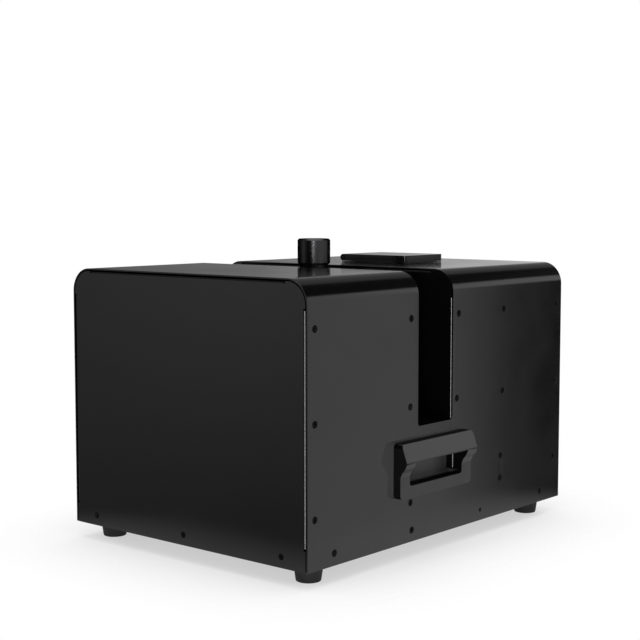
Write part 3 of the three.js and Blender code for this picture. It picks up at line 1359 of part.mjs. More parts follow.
// A bent pipe from the blower's outlet up into the line of the front trunnion.
function airDuct() {
  const y = fromFront((BLOWER_FRONT + BLOWER_BACK) / 2);
  const seat = aboveCase(BLOWER_OUTLET_TOP) + SEAT_GAP;
  const low = seat + DUCT_FLANGE;
  const end = fromFront(SLOT_FRONT - FRONT_TRUNNION_REACH - DUCT_END_GAP);
  const path = new THREE.QuadraticBezierCurve3(
    new THREE.Vector3(0, y, low - WELD_OVERLAP),
    new THREE.Vector3(0, y, AXIS_HEIGHT),
    new THREE.Vector3(0, end, AXIS_HEIGHT),
  );
  const section = outline(circle(0, 0, DUCT_RADIUS, SMALL_SIDES));
  section.holes.push(new THREE.Path(circle(0, 0, DUCT_RADIUS - DUCT_WALL, SMALL_SIDES)));
  const pipe = new THREE.ExtrudeGeometry(section, { steps: DUCT_STEPS, extrudePath: path });
  const half = (BLOWER_BACK - BLOWER_FRONT) / 2;
  const flange = block(-BLOWER_OUTLET_HALF, BLOWER_OUTLET_HALF, y - half, y + half, seat, low);
  const hole = rod('z', 0, y, DUCT_RADIUS - DUCT_WALL, seat - CUT_OVERRUN, low + WELD_OVERLAP, SMALL_SIDES);
  return joined(cut(flange, hole), toSolid(pipe));
}

// Fans

function fanFrame(x) {
  const z = FAN_Z;
  const back = fromFront(PANEL_INSIDE - SEAT_GAP);
  const front = back - FAN_DEPTH;
  const half = FAN_SIZE / 2;
  const strut = FAN_STRUT / 2;
  const frame = cut(
    prism('y', roundedRectangle(x - half, x + half, z - half, z + half, FAN_CORNER), front, back),
    rod('y', x, z, FAN_BORE, front - CUT_OVERRUN, back + CUT_OVERRUN, FINE_SIDES),
  );
  const reach = FAN_BORE + WELD_OVERLAP;
  return joined(
    frame,
    rod('y', x, z, FAN_HUB, front, front + FAN_BACK),
    block(x - reach, x + reach, front, front + FAN_BACK, z - strut, z + strut),
    block(x - strut, x + strut, front, front + FAN_BACK, z - reach, z + reach),
    rod('y', x, z, FAN_STUB, front, front + FAN_BACK + ROTOR_HUB_DEPTH / 2, SMALL_SIDES),
  );
}

function fanRotor(x) {
  const z = FAN_Z;
  const front = fromFront(PANEL_INSIDE - SEAT_GAP) - FAN_DEPTH + FAN_BACK + SEAT_GAP;
  const back = front + ROTOR_HUB_DEPTH;
  let rotor = rod('y', x, z, ROTOR_HUB, front, back);
  const tip = FAN_BORE - ROTOR_TIP_GAP;
  const root = ROTOR_HUB - CUT_OVERRUN;
  const bladeDepth = ROTOR_BLADE_CHORD * Math.cos(degrees(ROTOR_BLADE_DEGREES));
  for (let i = 0; i < ROTOR_BLADES; i += 1) {
    const blade = new THREE.BoxGeometry(tip - root, ROTOR_BLADE_CHORD, ROTOR_BLADE_THICKNESS);
    blade.rotateX(degrees(ROTOR_BLADE_DEGREES));
    blade.translate((tip + root) / 2, 0, 0);
    blade.rotateY((FULL_TURN * i) / ROTOR_BLADES);
    blade.translate(x, front + SEAT_GAP + bladeDepth / 2 + ROTOR_BLADE_THICKNESS, z);
    rotor = joined(rotor, toSolid(blade));
  }
  rotor = rotor.intersect(rod('y', x, z, tip, front, back, FINE_SIDES));
  return cut(rotor, rod(
    'y', x, z, FAN_STUB + RUNNING_GAP, front - CUT_OVERRUN,
    front + ROTOR_HUB_DEPTH / 2 + SEAT_GAP, SMALL_SIDES,
  ));
}

function fanGuard(x) {
  const z = FAN_Z;
  const front = fromFront(PANEL_BACK + SEAT_GAP);
  const back = front + GUARD_WIRE;
  const half = GUARD_WIRE / 2;
  const reach = FAN_BORE + GUARD_LUG;
  const rings = [];
  for (let i = 1; i <= GUARD_RINGS; i += 1) {
    const radius = (FAN_BORE * i) / GUARD_RINGS;
    rings.push(ring('y', x, z, radius + half, radius - half, front, back));
  }
  const spokes = [];
  for (let i = 0; i < GUARD_SPOKES; i += 1) {
    const spoke = new THREE.BoxGeometry(reach, GUARD_WIRE, GUARD_WIRE);
    spoke.translate(reach / 2, 0, 0);
    spoke.rotateY(degrees(GUARD_FIRST_SPOKE_DEGREES) + (FULL_TURN * i) / GUARD_SPOKES);
    spoke.translate(x, (front + back) / 2, z);
    spokes.push(toSolid(spoke));
  }
  return joined(rod('y', x, z, GUARD_LUG, front, back, SMALL_SIDES), ...rings, ...spokes);
}

// Electrics

function powerSupply() {
  const left = -HALF_WIDTH + SUPPLY_SIDE_INSET;
  const right = left + SUPPLY_WIDTH;
  const front = fromFront(SUPPLY_FRONT);
  const back = fromFront(SLOT_FRONT - SUPPLY_BEFORE_SLOT);
  const low = TRAY_TOP + SEAT_GAP;
  const high = low + SUPPLY_HEIGHT;
  return cut(
    block(left, right, front, back, low, high),
    block(
      left - CUT_OVERRUN, right + CUT_OVERRUN, back - TERMINAL_DEPTH, back + CUT_OVERRUN,
      low + TERMINAL_HEIGHT, high + CUT_OVERRUN,
    ),
  );
}

function controlBoard() {
  const right = HALF_WIDTH - BOARD_SIDE_INSET;
  const left = BLOWER_OFFSET + BLOWER_RADIUS + BOARD_BLOWER_GAP;
  const front = fromFront(BOARD_FRONT);
  const back = fromFront(SLOT_FRONT - BOARD_BEFORE_SLOT);
  const low = TRAY_TOP + SEAT_GAP;
  const deck = low + BOARD_STANDOFF;
  const top = deck + BOARD_THICKNESS;
  const inset = BOARD_STANDOFF_INSET;
  const standoffs = [];
  [left + inset, right - inset].forEach((x) => {
    [front + inset, back - inset].forEach((y) => {
      standoffs.push(rod('z', x, y, BOARD_STANDOFF_RADIUS, low, deck + WELD_OVERLAP, SMALL_SIDES));
    });
  });
  const sinkFront = front + HEATSINK_INSET;
  const sinkLeft = left + HEATSINK_INSET;
  const base = block(
    sinkLeft, sinkLeft + HEATSINK_WIDTH, sinkFront, sinkFront + HEATSINK_LENGTH,
    top - WELD_OVERLAP, top + HEATSINK_BASE,
  );
  const fins = [];
  for (let i = 0; i < HEATSINK_FINS; i += 1) {
    const x = sinkLeft + ((HEATSINK_WIDTH - HEATSINK_FIN) * i) / (HEATSINK_FINS - 1);
    fins.push(block(
      x, x + HEATSINK_FIN, sinkFront, sinkFront + HEATSINK_LENGTH, top, top + HEATSINK_HEIGHT,
    ));
  }
  const plug = block(
    left + inset, left + inset + PLUG_LENGTH,
    back - PLUG_BACK_INSET - PLUG_WIDTH, back - PLUG_BACK_INSET,
    top - WELD_OVERLAP, top + PLUG_HEIGHT,
  );
  const capacitorX = right - inset - CAPACITOR_RADIUS;
  const capacitors = [1, 2].map((place) => rod(
    'z', capacitorX, sinkFront + place * CAPACITOR_PITCH, CAPACITOR_RADIUS,
    top - WELD_OVERLAP, top + CAPACITOR_HEIGHT, SMALL_SIDES,
  ));
  return joined(
    block(left, right, front, back, deck, top),
    ...standoffs, base, ...fins, plug, ...capacitors,
  );
}

// Display and buttons

function buttonX(index) {
  return (index - (BUTTON_COUNT - 1) / 2) * BUTTON_PITCH;
}

const BUTTON_COLLAR_FACE = PANEL_INSIDE - SEAT_GAP;
const BUTTON_END = BUTTON_COLLAR_FACE - BUTTON_COLLAR - BUTTON_STEM;

function displayBoard() {
  const seat = fromFront(PANEL_INSIDE - SEAT_GAP);
  const front = fromFront(DISPLAY_BOARD_FRONT);
  const back = front + BOARD_THICKNESS;
  const half = DISPLAY_BOARD_WIDTH / 2;
  const low = BUTTON_Z - DISPLAY_BOARD_MARGIN;
  const high = DISPLAY_MIDDLE + DISPLAY_BOARD_TOP;
  const posts = [];
  [-half + DISPLAY_POST_INSET, half - DISPLAY_POST_INSET].forEach((x) => {
    [low + DISPLAY_POST_INSET, high - DISPLAY_POST_INSET].forEach((z) => {
      posts.push(rod('y', x, z, DISPLAY_POST_RADIUS, back - WELD_OVERLAP, seat, SMALL_SIDES));
    });
  });
  const switches = [];
  for (let i = 0; i < BUTTON_COUNT; i += 1) {
    switches.push(rod(
      'y', buttonX(i), BUTTON_Z, BUTTON_SWITCH_RADIUS,
      back - WELD_OVERLAP, fromFront(BUTTON_END - BUTTON_TRAVEL_ROOM), SMALL_SIDES,
    ));
  }
  return joined(
    block(-half, half, front, back, low, high),
    block(
      -DISPLAY_WIDTH / 2, DISPLAY_WIDTH / 2, back - WELD_OVERLAP, back + DISPLAY_DEPTH,
      DISPLAY_MIDDLE - DISPLAY_TALL / 2, DISPLAY_MIDDLE + DISPLAY_TALL / 2,
    ),
    ...posts,
    ...switches,
  );
}

function displayWindow() {
  const middle = DISPLAY_MIDDLE;
  const front = fromFront(PANEL_BACK + SEAT_GAP);
  return prism('y', roundedRectangle(
    -WINDOW_WIDTH / 2, WINDOW_WIDTH / 2, middle - WINDOW_HEIGHT / 2, middle + WINDOW_HEIGHT / 2,
    WINDOW_CORNER,
  ), front, front + WINDOW_THICKNESS);
}

function menuButton(index) {
  const x = buttonX(index);
  const z = BUTTON_Z;
  const collar = fromFront(BUTTON_COLLAR_FACE);
  const end = fromFront(PANEL_BACK + BUTTON_PROUD);
  return joined(
    rod('y', x, z, BUTTON_RADIUS, fromFront(BUTTON_END), end, SMALL_SIDES),
    rod('y', x, z, BUTTON_COLLAR_RADIUS, collar - BUTTON_COLLAR, collar, SMALL_SIDES),
  );
}

// Connectors

function powerInlet() {
  const z = aboveCase(CONNECTOR_HEIGHT);
  const x = INLET_X;
  const seat = fromFront(PANEL_BACK + SEAT_GAP);
  const face = seat + INLET_FLANGE;
  const box = (width, tall, front, back) =>
    block(x - width / 2, x + width / 2, front, back, z - tall / 2, z + tall / 2);
  const well = box(INLET_WELL_WIDTH, INLET_WELL_TALL, face - INLET_WELL_DEPTH, face + CUT_OVERRUN);
  const floor = face - INLET_WELL_DEPTH;
  const pins = [-1, 0, 1].map((side) => {
    const pinX = x + side * INLET_PIN_SPACING;
    const pinZ = z + (side === 0 ? INLET_PIN_RISE : -INLET_PIN_RISE);
    return block(
      pinX - INLET_PIN_WIDTH / 2, pinX + INLET_PIN_WIDTH / 2,
      floor - WELD_OVERLAP, floor + INLET_PIN_LENGTH,
      pinZ - INLET_PIN_TALL / 2, pinZ + INLET_PIN_TALL / 2,
    );
  });
  return joined(
    cut(
      joined(
        box(INLET_FLANGE_WIDTH, INLET_FLANGE_TALL, seat, face),
        box(INLET_BODY_WIDTH, INLET_BODY_TALL, seat - INLET_BODY_DEPTH, seat + WELD_OVERLAP),
      ),
      well,
    ),
    ...pins,
  );
}

function fuseHolder() {
  const z = aboveCase(CONNECTOR_HEIGHT);
  const seat = fromFront(PANEL_BACK + SEAT_GAP);
  return joined(
    rod('y', FUSE_X, z, FUSE_CAP_RADIUS, seat, seat + FUSE_CAP_LENGTH, SMALL_SIDES),
    rod('y', FUSE_X, z, FUSE_RADIUS, seat - FUSE_BODY_DEPTH, seat + WELD_OVERLAP, SMALL_SIDES),
  );
}

const ROCKER_Y = PANEL_BACK - ROCKER_PIVOT_DEPTH;

function rockerFrame() {
  const z = aboveCase(CONNECTOR_HEIGHT);
  const x = ROCKER_X;
  const seat = fromFront(PANEL_BACK + SEAT_GAP);
  const face = seat + ROCKER_FRAME_FLANGE;
  const box = (width, tall, front, back) =>
    block(x - width / 2, x + width / 2, front, back, z - tall / 2, z + tall / 2);
  const width = ROCKER_BODY_WIDTH - ROCKER_WALL * 2;
  const tall = ROCKER_BODY_TALL - ROCKER_WALL * 2;
  return joined(
    cut(
      joined(
        box(ROCKER_FRAME_WIDTH, ROCKER_FRAME_TALL, seat, face),
        box(ROCKER_BODY_WIDTH, ROCKER_BODY_TALL, seat - ROCKER_BODY_DEPTH, seat + WELD_OVERLAP),
      ),
      box(width, tall, face - ROCKER_WELL_DEPTH, face + CUT_OVERRUN),
    ),
    rod(
      'x', fromFront(ROCKER_Y), z, ROCKER_PIN_RADIUS,
      x - width / 2 - WELD_OVERLAP, x + width / 2 + WELD_OVERLAP, SMALL_SIDES,
    ),
  );
}

// The rocker turns on a pin across its frame and rests with its upper half pressed in.
function powerRocker() {
  const z = aboveCase(CONNECTOR_HEIGHT);
  const half = (ROCKER_BODY_WIDTH - ROCKER_WALL * 2) / 2 - ROCKER_GAP;
  const reach = (ROCKER_BODY_TALL - ROCKER_WALL * 2) / 2 - ROCKER_GAP * 2;
  const y = fromFront(ROCKER_Y);
  const tilted = (across, out) => {
    const turn = degrees(ROCKER_TILT_DEGREES);
    return point(
      y + out * Math.cos(turn) - across * Math.sin(turn),
      z + out * Math.sin(turn) + across * Math.cos(turn),
    );
  };
  const body = prism('x', [
    tilted(-reach + ROCKER_BACK, -ROCKER_BACK),
    tilted(reach - ROCKER_BACK, -ROCKER_BACK),
    tilted(reach - ROCKER_EDGE, ROCKER_RISE),
    tilted(0, ROCKER_RISE - ROCKER_DISH),
    tilted(-reach + ROCKER_EDGE, ROCKER_RISE),
  ], ROCKER_X - half, ROCKER_X + half);
  return cut(body, rod(
    'x', y, z, ROCKER_PIN_RADIUS + RUNNING_GAP,
    ROCKER_X - half - CUT_OVERRUN, ROCKER_X + half + CUT_OVERRUN, SMALL_SIDES,
  ));
}

// The square flange and the round body that both data connectors share.
function dataBody(x) {
  const z = aboveCase(CONNECTOR_HEIGHT);
  const seat = fromFront(PANEL_BACK + SEAT_GAP);
  return joined(
    prism('y', roundedRectangle(
      x - DATA_FLANGE_WIDTH / 2, x + DATA_FLANGE_WIDTH / 2,
      z - DATA_FLANGE_TALL / 2, z + DATA_FLANGE_TALL / 2, DATA_CORNER,
    ), seat, seat + DATA_FLANGE),
    rod('y', x, z, DATA_BODY_RADIUS, seat - DATA_BODY_DEPTH, seat + WELD_OVERLAP),
  );
}

const pinPlace = (x, z, index, spin) => {
  const angle = spin + (FULL_TURN * index) / DATA_PINS;
  return [x + DATA_PIN_CIRCLE * Math.cos(angle), z + DATA_PIN_CIRCLE * Math.sin(angle)];
};

function dataInput() {
  const z = aboveCase(CONNECTOR_HEIGHT);
  const x = DATA_IN_X;
  const face = fromFront(PANEL_BACK + SEAT_GAP) + DATA_FLANGE;
  const floor = face - DATA_WELL_DEPTH;
  const pins = [];
  for (let i = 0; i < DATA_PINS; i += 1) {
    pins.push(rod(
      'y', ...pinPlace(x, z, i, -QUARTER), DATA_PIN_RADIUS,
      floor - WELD_OVERLAP, floor + DATA_PIN_LENGTH, PIN_SIDES,
    ));
  }
  return joined(
    cut(dataBody(x), rod('y', x, z, DATA_WELL_RADIUS, floor, face + CUT_OVERRUN)),
    ...pins,
  );
}

function dataOutput() {
  const z = aboveCase(CONNECTOR_HEIGHT);
  const x = DATA_OUT_X;
  const seat = fromFront(PANEL_BACK + SEAT_GAP);
  const face = seat + DATA_FLANGE;
  const floor = face - DATA_WELL_DEPTH;
  const holes = [];
  for (let i = 0; i < DATA_PINS; i += 1) {
    holes.push(rod(
      'y', ...pinPlace(x, z, i, QUARTER), DATA_PIN_RADIUS + RUNNING_GAP,
      floor, face + CUT_OVERRUN, PIN_SIDES,
    ));
  }
  const low = z + DATA_WELL_RADIUS + LATCH_RISE;
  const latchRoom = block(
    x - LATCH_WIDTH / 2 - RUNNING_GAP, x + LATCH_WIDTH / 2 + RUNNING_GAP,
    seat - LATCH_DEPTH - CUT_OVERRUN, face + CUT_OVERRUN,
    low - RUNNING_GAP, low + LATCH_TALL + RUNNING_GAP,
  );
  return cut(
    dataBody(x),
    ring('y', x, z, DATA_WELL_RADIUS, DATA_WELL_RADIUS - DATA_GROOVE, floor, face + CUT_OVERRUN),
    latchRoom,
    ...holes,
  );
}

function dataLatch() {
  const low = aboveCase(CONNECTOR_HEIGHT) + DATA_WELL_RADIUS + LATCH_RISE;
  const face = fromFront(PANEL_BACK + SEAT_GAP) + DATA_FLANGE;
  return block(
    DATA_OUT_X - LATCH_WIDTH / 2, DATA_OUT_X + LATCH_WIDTH / 2,
    face - DATA_FLANGE - LATCH_DEPTH, face + LATCH_PROUD, low, low + LATCH_TALL,
  );
}

// The whole machine

addPiece('outer_shell', outerShell(), blackPaint());
addPiece('front_panel', frontPanel(), blackPaint());
addPiece('rear_panel', rearPanel(), blackPaint());
addPiece('base_tray', baseTray(), blackPaint());
addPiece('front_bulkhead', frontBulkhead(), blackPaint());
addPiece('rear_bulkhead', rearBulkhead(), blackPaint());
addPiece('slot_floor', slotFloor(), blackPaint());
addPiece('cross_frame', crossFrame(), zincSheet());
[['left', -1], ['right', 1]].forEach(([side, hand]) => {
  const x = hand * (HALF_WIDTH - FOOT_SIDE_INSET);
  addPiece(`foot_front_${side}`, foot(x, fromFront(FOOT_END_INSET)), blackRubber());
  addPiece(`foot_rear_${side}`, foot(x, fromFront(CASE_DEPTH - FOOT_END_INSET)), blackRubber());
  addPiece(`grip_${side}`, handGrip(hand), blackPlastic());
});
addPiece('lid_frame', lidFrame(), blackAluminium());
addPiece('filler_lid', fillerLid(), blackAluminium());
addPiece('lid_hinge_pin', lidHingePin(), brightSteel());
addPiece('lid_seal', lidSeal(), siliconeSeal());
addPiece('hopper_funnel', hopperFunnel(), zincSheet());
addPiece('nozzle_head', nozzleHead(), darkSteel());
addPiece('nozzle_tube', nozzleTube(), darkSteel());
addPiece('nozzle_tip', nozzleTip(), blackAluminium());
addPiece('heater_band', heaterBand(), brightSteel());
addPiece('front_trunnion', frontTrunnion(), brightSteel());
addPiece('rear_trunnion', rearTrunnion(), brightSteel());
addPiece('front_bearing', flangeBearing(SLOT_FRONT, -1), darkSteel());
addPiece('rear_bearing', flangeBearing(SLOT_REAR, 1), darkSteel());
addPiece('driven_pulley', drivenPulley(), aluminium());
addPiece('motor_pulley', motorPulley(), aluminium());
addPiece('drive_belt', driveBelt(), beltRubber());
addPiece('swing_motor', swingMotor(), darkSteel());
addPiece('motor_bracket', motorBracket(), zincSheet());
addPiece('feed_tube', feedTube(), brass());
addPiece('feed_auger', feedAuger(), brightSteel());
addPiece('feed_motor', feedMotor(), brightSteel());
addPiece('blower_housing', blowerHousing(), blackPlastic());
addPiece('blower_impeller', blowerImpeller(), blackPlastic());
addPiece('blower_motor', blowerMotor(), darkSteel());
addPiece('air_duct', airDuct(), aluminium());
[['left', -1], ['right', 1]].forEach(([side, hand]) => {
  addPiece(`fan_frame_${side}`, fanFrame(hand * FAN_OFFSET), blackPlastic());
  addPiece(`fan_rotor_${side}`, fanRotor(hand * FAN_OFFSET), blackPlastic());
  addPiece(`fan_guard_${side}`, fanGuard(hand * FAN_OFFSET), brightSteel());
});
addPiece('power_supply', powerSupply(), zincSheet());
addPiece('control_board', controlBoard(), boardGreen());
addPiece('display_board', displayBoard(), boardGreen());
addPiece('display_window', displayWindow(), displayGlass());
for (let i = 0; i < BUTTON_COUNT; i += 1) {
  addPiece(`menu_button_${i + 1}`, menuButton(i), blackPlastic());
}
addPiece('power_inlet', powerInlet(), blackPlastic());
addPiece('fuse_holder', fuseHolder(), blackPlastic());
addPiece('rocker_frame', rockerFrame(), blackPlastic());
addPiece('power_rocker', powerRocker(), redPlastic());
addPiece('data_input', dataInput(), brightSteel());
addPiece('data_output', dataOutput(), blackPlastic());
addPiece('data_latch', dataLatch(), brightSteel());

export default machine;
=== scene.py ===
"""Dresses the cold spark machine: folded sheet, moulded grips, turned nozzle, fans, connectors.

Lengths in the classes are millimetres in the machine's own frame: +Z up, the front faces -Y,
and the origin is on the ground under the middle of the casing.
"""

from __future__ import annotations

import json
import logging
import math
from dataclasses import dataclass, field
from enum import Enum
from typing import Any, Iterable, Sequence

import bmesh
import bpy
from mathutils import Matrix, Vector

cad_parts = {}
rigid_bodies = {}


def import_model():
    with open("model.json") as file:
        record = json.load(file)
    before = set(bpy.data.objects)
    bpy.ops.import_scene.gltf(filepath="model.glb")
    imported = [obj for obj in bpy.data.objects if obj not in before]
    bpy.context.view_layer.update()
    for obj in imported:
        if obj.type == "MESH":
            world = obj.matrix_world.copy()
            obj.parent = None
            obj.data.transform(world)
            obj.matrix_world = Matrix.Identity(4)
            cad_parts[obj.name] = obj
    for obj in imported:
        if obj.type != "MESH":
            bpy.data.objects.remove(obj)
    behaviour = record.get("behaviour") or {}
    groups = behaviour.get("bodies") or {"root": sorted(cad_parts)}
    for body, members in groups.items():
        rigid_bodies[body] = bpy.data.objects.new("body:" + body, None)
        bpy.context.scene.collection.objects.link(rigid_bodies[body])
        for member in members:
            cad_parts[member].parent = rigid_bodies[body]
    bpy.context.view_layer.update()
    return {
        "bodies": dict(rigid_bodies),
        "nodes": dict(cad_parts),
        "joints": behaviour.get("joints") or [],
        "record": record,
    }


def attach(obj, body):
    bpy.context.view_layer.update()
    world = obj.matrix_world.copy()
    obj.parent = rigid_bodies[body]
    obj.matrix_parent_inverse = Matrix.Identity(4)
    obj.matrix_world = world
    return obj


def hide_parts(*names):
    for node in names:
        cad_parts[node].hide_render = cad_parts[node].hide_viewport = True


MM = 0.001
QUARTER = math.pi / 2
FULL_TURN = math.pi * 2
SHARP = math.radians(40)
WELD = 1e-6
ON_LINE = 0.001

Point = tuple[float, float]
Colour = tuple[float, float, float]
log = logging.getLogger("cold_spark_machine")


class Heading(Enum):
    """The six directions in which a turned or flat piece can point."""

    UP = (0.0, 0.0, 1.0)
    DOWN = (0.0, 0.0, -1.0)
    FRONT = (0.0, -1.0, 0.0)
    REAR = (0.0, 1.0, 0.0)
    LEFT = (-1.0, 0.0, 0.0)
    RIGHT = (1.0, 0.0, 0.0)


def placed(heading: Heading, x: float, y: float, z: float, spin: float = 0.0) -> Matrix:
    """Gives the matrix that stands a piece made along +Z on a place, pointing a given way.

    Args:
        heading: the way in which the piece's own +Z points.
        x: place in millimetres.
        y: place in millimetres.
        z: place in millimetres.
        spin: turn about the piece's own axis, in degrees.

    Returns:
        The matrix, in metres.
    """
    turn = Vector(heading.value).to_track_quat("Z", "Y").to_matrix().to_4x4()
    place = Matrix.Translation(Vector((x, y, z)) * MM)
    return place @ turn @ Matrix.Rotation(math.radians(spin), 4, "Z")


def arc(middle: Point, radius: float, start: float, end: float, steps: int) -> list[Point]:
    """Lists points along an arc.

    Args:
        middle: the arc's middle.
        radius: its radius.
        start: the first point's angle in radians.
        end: the last point's angle in radians.
        steps: how many chords the arc has.

    Returns:
        The points, both ends included.
    """
    angles = [start + (end - start) * i / steps for i in range(steps + 1)]
    return [(middle[0] + radius * math.cos(a), middle[1] + radius * math.sin(a)) for a in angles]


def rounded_rectangle(
    left: float, right: float, low: float, high: float, radius: float, steps: int = 6
) -> list[Point]:
    """Lists the outline of a rectangle with four equal round corners.

    Args:
        left: lowest first coordinate.
        right: highest first coordinate.
        low: lowest second coordinate.
        high: highest second coordinate.
        radius: the corners' radius.
        steps: chords in each corner.

    Returns:
        The outline's points in order.
    """
    return [
        *arc((left + radius, low + radius), radius, math.pi, math.pi + QUARTER, steps),
        *arc((right - radius, low + radius), radius, -QUARTER, 0, steps),
        *arc((right - radius, high - radius), radius, 0, QUARTER, steps),
        *arc((left + radius, high - radius), radius, QUARTER, math.pi, steps),
    ]


def sharp_edges(bm: bmesh.types.BMesh, angle: float = SHARP) -> list[bmesh.types.BMEdge]:
    """Finds the edges at which two faces meet at more than an angle.

    Args:
        bm: the mesh to look at.
        angle: the least angle in radians.

    Returns:
        The edges.
    """
    return [
        e for e in bm.edges if len(e.link_faces) == 2 and e.calc_face_angle(0.0) > angle
    ]


def soften(
    bm: bmesh.types.BMesh, width: float, segments: int = 2, edges: Sequence[Any] | None = None
) -> None:
    """Rounds the sharp edges of a mesh.

    Args:
        bm: the mesh to change.
        width: the rounding's width in millimetres.
        segments: strips in each rounding.
        edges: the edges to round, or None for all sharp ones.
    """
    chosen = list(sharp_edges(bm) if edges is None else edges)
    if chosen and width > 0:
        bmesh.ops.bevel(
            bm, geom=chosen, offset=width * MM, offset_type="OFFSET", segments=segments,
            profile=0.5, affect="EDGES", clamp_overlap=True, material=-1,
        )


def stamp(target: bmesh.types.BMesh, source: bmesh.types.BMesh, place: Matrix) -> None:
    """Adds a copy of one mesh to another.

    Args:
        target: the mesh that grows.
        source: the mesh that is copied.
        place: where the copy goes.
    """
    mesh = bpy.data.meshes.new("stamp")
    source.to_mesh(mesh)
    mesh.transform(place)
    if place.determinant() < 0:
        mesh.flip_normals()
    target.from_mesh(mesh)
    bpy.data.meshes.remove(mesh)


def lathe(profile: Sequence[Point], steps: int = 48, rim: float = 0.0) -> bmesh.types.BMesh:
    """Turns a closed profile of radius and height about +Z.

    Args:
        profile: points of radius and height in millimetres, in order round the section.
        steps: how many strips the full turn has.
        rim: width of the rounding on its sharp edges, in millimetres.

    Returns:
        The turned mesh.
    """
    bm = bmesh.new()
    verts = [bm.verts.new((r * MM, 0, z * MM)) for r, z in profile]
    edges = [
        bm.edges.new((a, b))
        for a, b in zip(verts, verts[1:] + verts[:1])
        if a.co.x > 0 or b.co.x > 0
    ]
    bmesh.ops.spin(
        bm, geom=verts + edges, cent=(0, 0, 0), axis=(0, 0, 1), angle=FULL_TURN, steps=steps,
        use_merge=True,
    )
    bmesh.ops.remove_doubles(bm, verts=bm.verts[:], dist=WELD)
    bmesh.ops.recalc_face_normals(bm, faces=bm.faces[:])
    soften(bm, rim)
    return bm


def loop(bm: bmesh.types.BMesh, points: Sequence[Point]) -> list[bmesh.types.BMEdge]:
    """Draws a closed outline in the mesh's own plane.

    Args:
        bm: the mesh to draw in.
        points: the outline in millimetres; a point that repeats the last one is left out.

    Returns:
        The outline's edges.
    """
    before = [points[-1], *points]
    apart = [now for now, last in zip(points, before) if math.dist(now, last) > ON_LINE]
    verts = [bm.verts.new((u * MM, v * MM, 0)) for u, v in apart]
    return [bm.edges.new((a, b)) for a, b in zip(verts, verts[1:] + verts[:1])]


@dataclass(frozen=True)
class Fold:
    """One bend of a blank: the sheet past a line turns down round it."""

    across: Point
    line: float
    radius: float
    low: float = -math.inf
    high: float = math.inf

    def turned(self, u: float, v: float, w: float) -> tuple[float, float, float] | None:
        """Moves a point of the flat sheet to its place in the folded one.

        Args:
            u: first coordinate in the blank.
            v: second coordinate in the blank.
            w: height over the blank.

        Returns:
            The new place, or None for a point that the bend doesn't move.
        """
        past = u * self.across[0] + v * self.across[1] - self.line
        beside = u * self.across[1] + v * self.across[0]
        if past < ON_LINE or not self.low - ON_LINE < beside < self.high + ON_LINE:
            return None
        length = self.radius * QUARTER
        angle = min(past / self.radius, QUARTER)
        reach = self.line + self.radius * math.sin(angle)
        drop = self.radius * (1 - math.cos(angle)) + max(past - length, 0)
        keep = (u * abs(self.across[1]), v * abs(self.across[0]))
        return keep[0] + self.across[0] * reach, keep[1] + self.across[1] * reach, w - drop


class Blank:
    """A flat sheet that is cut, folded and thickened as the real panel is."""

    def __init__(self, outline: Sequence[Point]) -> None:
        """Draws the blank's outline.

        Args:
            outline: its points in millimetres.
        """
        self.bm = bmesh.new()
        self.cut(outline)

    def cut(self, outline: Sequence[Point]) -> None:
        """Cuts one opening, or draws the blank's own edge."""
        loop(self.bm, outline)

    def drill(self, u: float, v: float, radius: float, sides: int = 24) -> None:
        """Cuts a round hole.

        Args:
            u: the hole's place in the blank.
            v: the hole's place in the blank.
            radius: the hole's radius.
            sides: how many chords it has.
        """
        place = Matrix.Translation(Vector((u, v, 0)) * MM)
        bmesh.ops.create_circle(
            self.bm, cap_ends=False, radius=radius * MM, segments=sides, matrix=place
        )

    def slice(self, across: Point, line: float) -> None:
        """Adds a row of edges across the sheet, along one line.

        Args:
            across: the way across the row, as a unit vector.
            line: how far along that way the row lies.
        """
        bmesh.ops.bisect_plane(
            self.bm, geom=[*self.bm.verts, *self.bm.edges, *self.bm.faces], dist=WELD,
            plane_co=Vector((across[0], across[1], 0)) * line * MM,
            plane_no=(across[0], across[1], 0),
        )

    def press(
        self, thickness: float, folds: Sequence[Fold] = (), steps: int = 6, rim: float = 0.25
    ) -> bmesh.types.BMesh:
        """Folds the sheet, gives it its thickness and breaks its edges.

        Args:
            thickness: the sheet's thickness, taken from its outer side inwards.
            folds: the bends.
            steps: strips in each bend.
            rim: width of the rounding on the cut edges.

        Returns:
            The finished panel, its outer side at height 0 and its folds pointing down.
        """
        bm = self.bm
        bmesh.ops.triangle_fill(
            bm, use_beauty=True, use_dissolve=False, edges=bm.edges[:], normal=(0, 0, 1)
        )
        for fold in folds:
            for i in range(steps + 1):
                self.slice(fold.across, fold.line + fold.radius * QUARTER * i / steps)
        for vert in bm.verts:
            u, v, w = vert.co / MM
            for fold in folds:
                place = fold.turned(u, v, w)
                if place:
                    vert.co = Vector(place) * MM
                    break
        bm.normal_update()
        bmesh.ops.solidify(bm, geom=bm.faces[:], thickness=thickness * MM)
        bmesh.ops.recalc_face_normals(bm, faces=bm.faces[:])
        soften(bm, rim)
        return bm


def panel_place(face: float, heading: float) -> Matrix:
    """Stands a blank up in the casing's cross-section, its first coordinate along +X.

    Args:
        face: where the panel's outer side is along Y.
        heading: 1 where the folds run to the rear and -1 where they run to the front.

    Returns:
        The matrix, in metres.
    """
    turn = Matrix(((1, 0, 0, 0), (0, 0, -heading, 0), (0, 1, 0, 0), (0, 0, 0, 1)))
    return Matrix.Translation(Vector((0, face, 0)) * MM) @ turn


class Drive(Enum):
    """The recess in a screw's head."""

    HEX = "hexagon"
    CROSS = "cross"


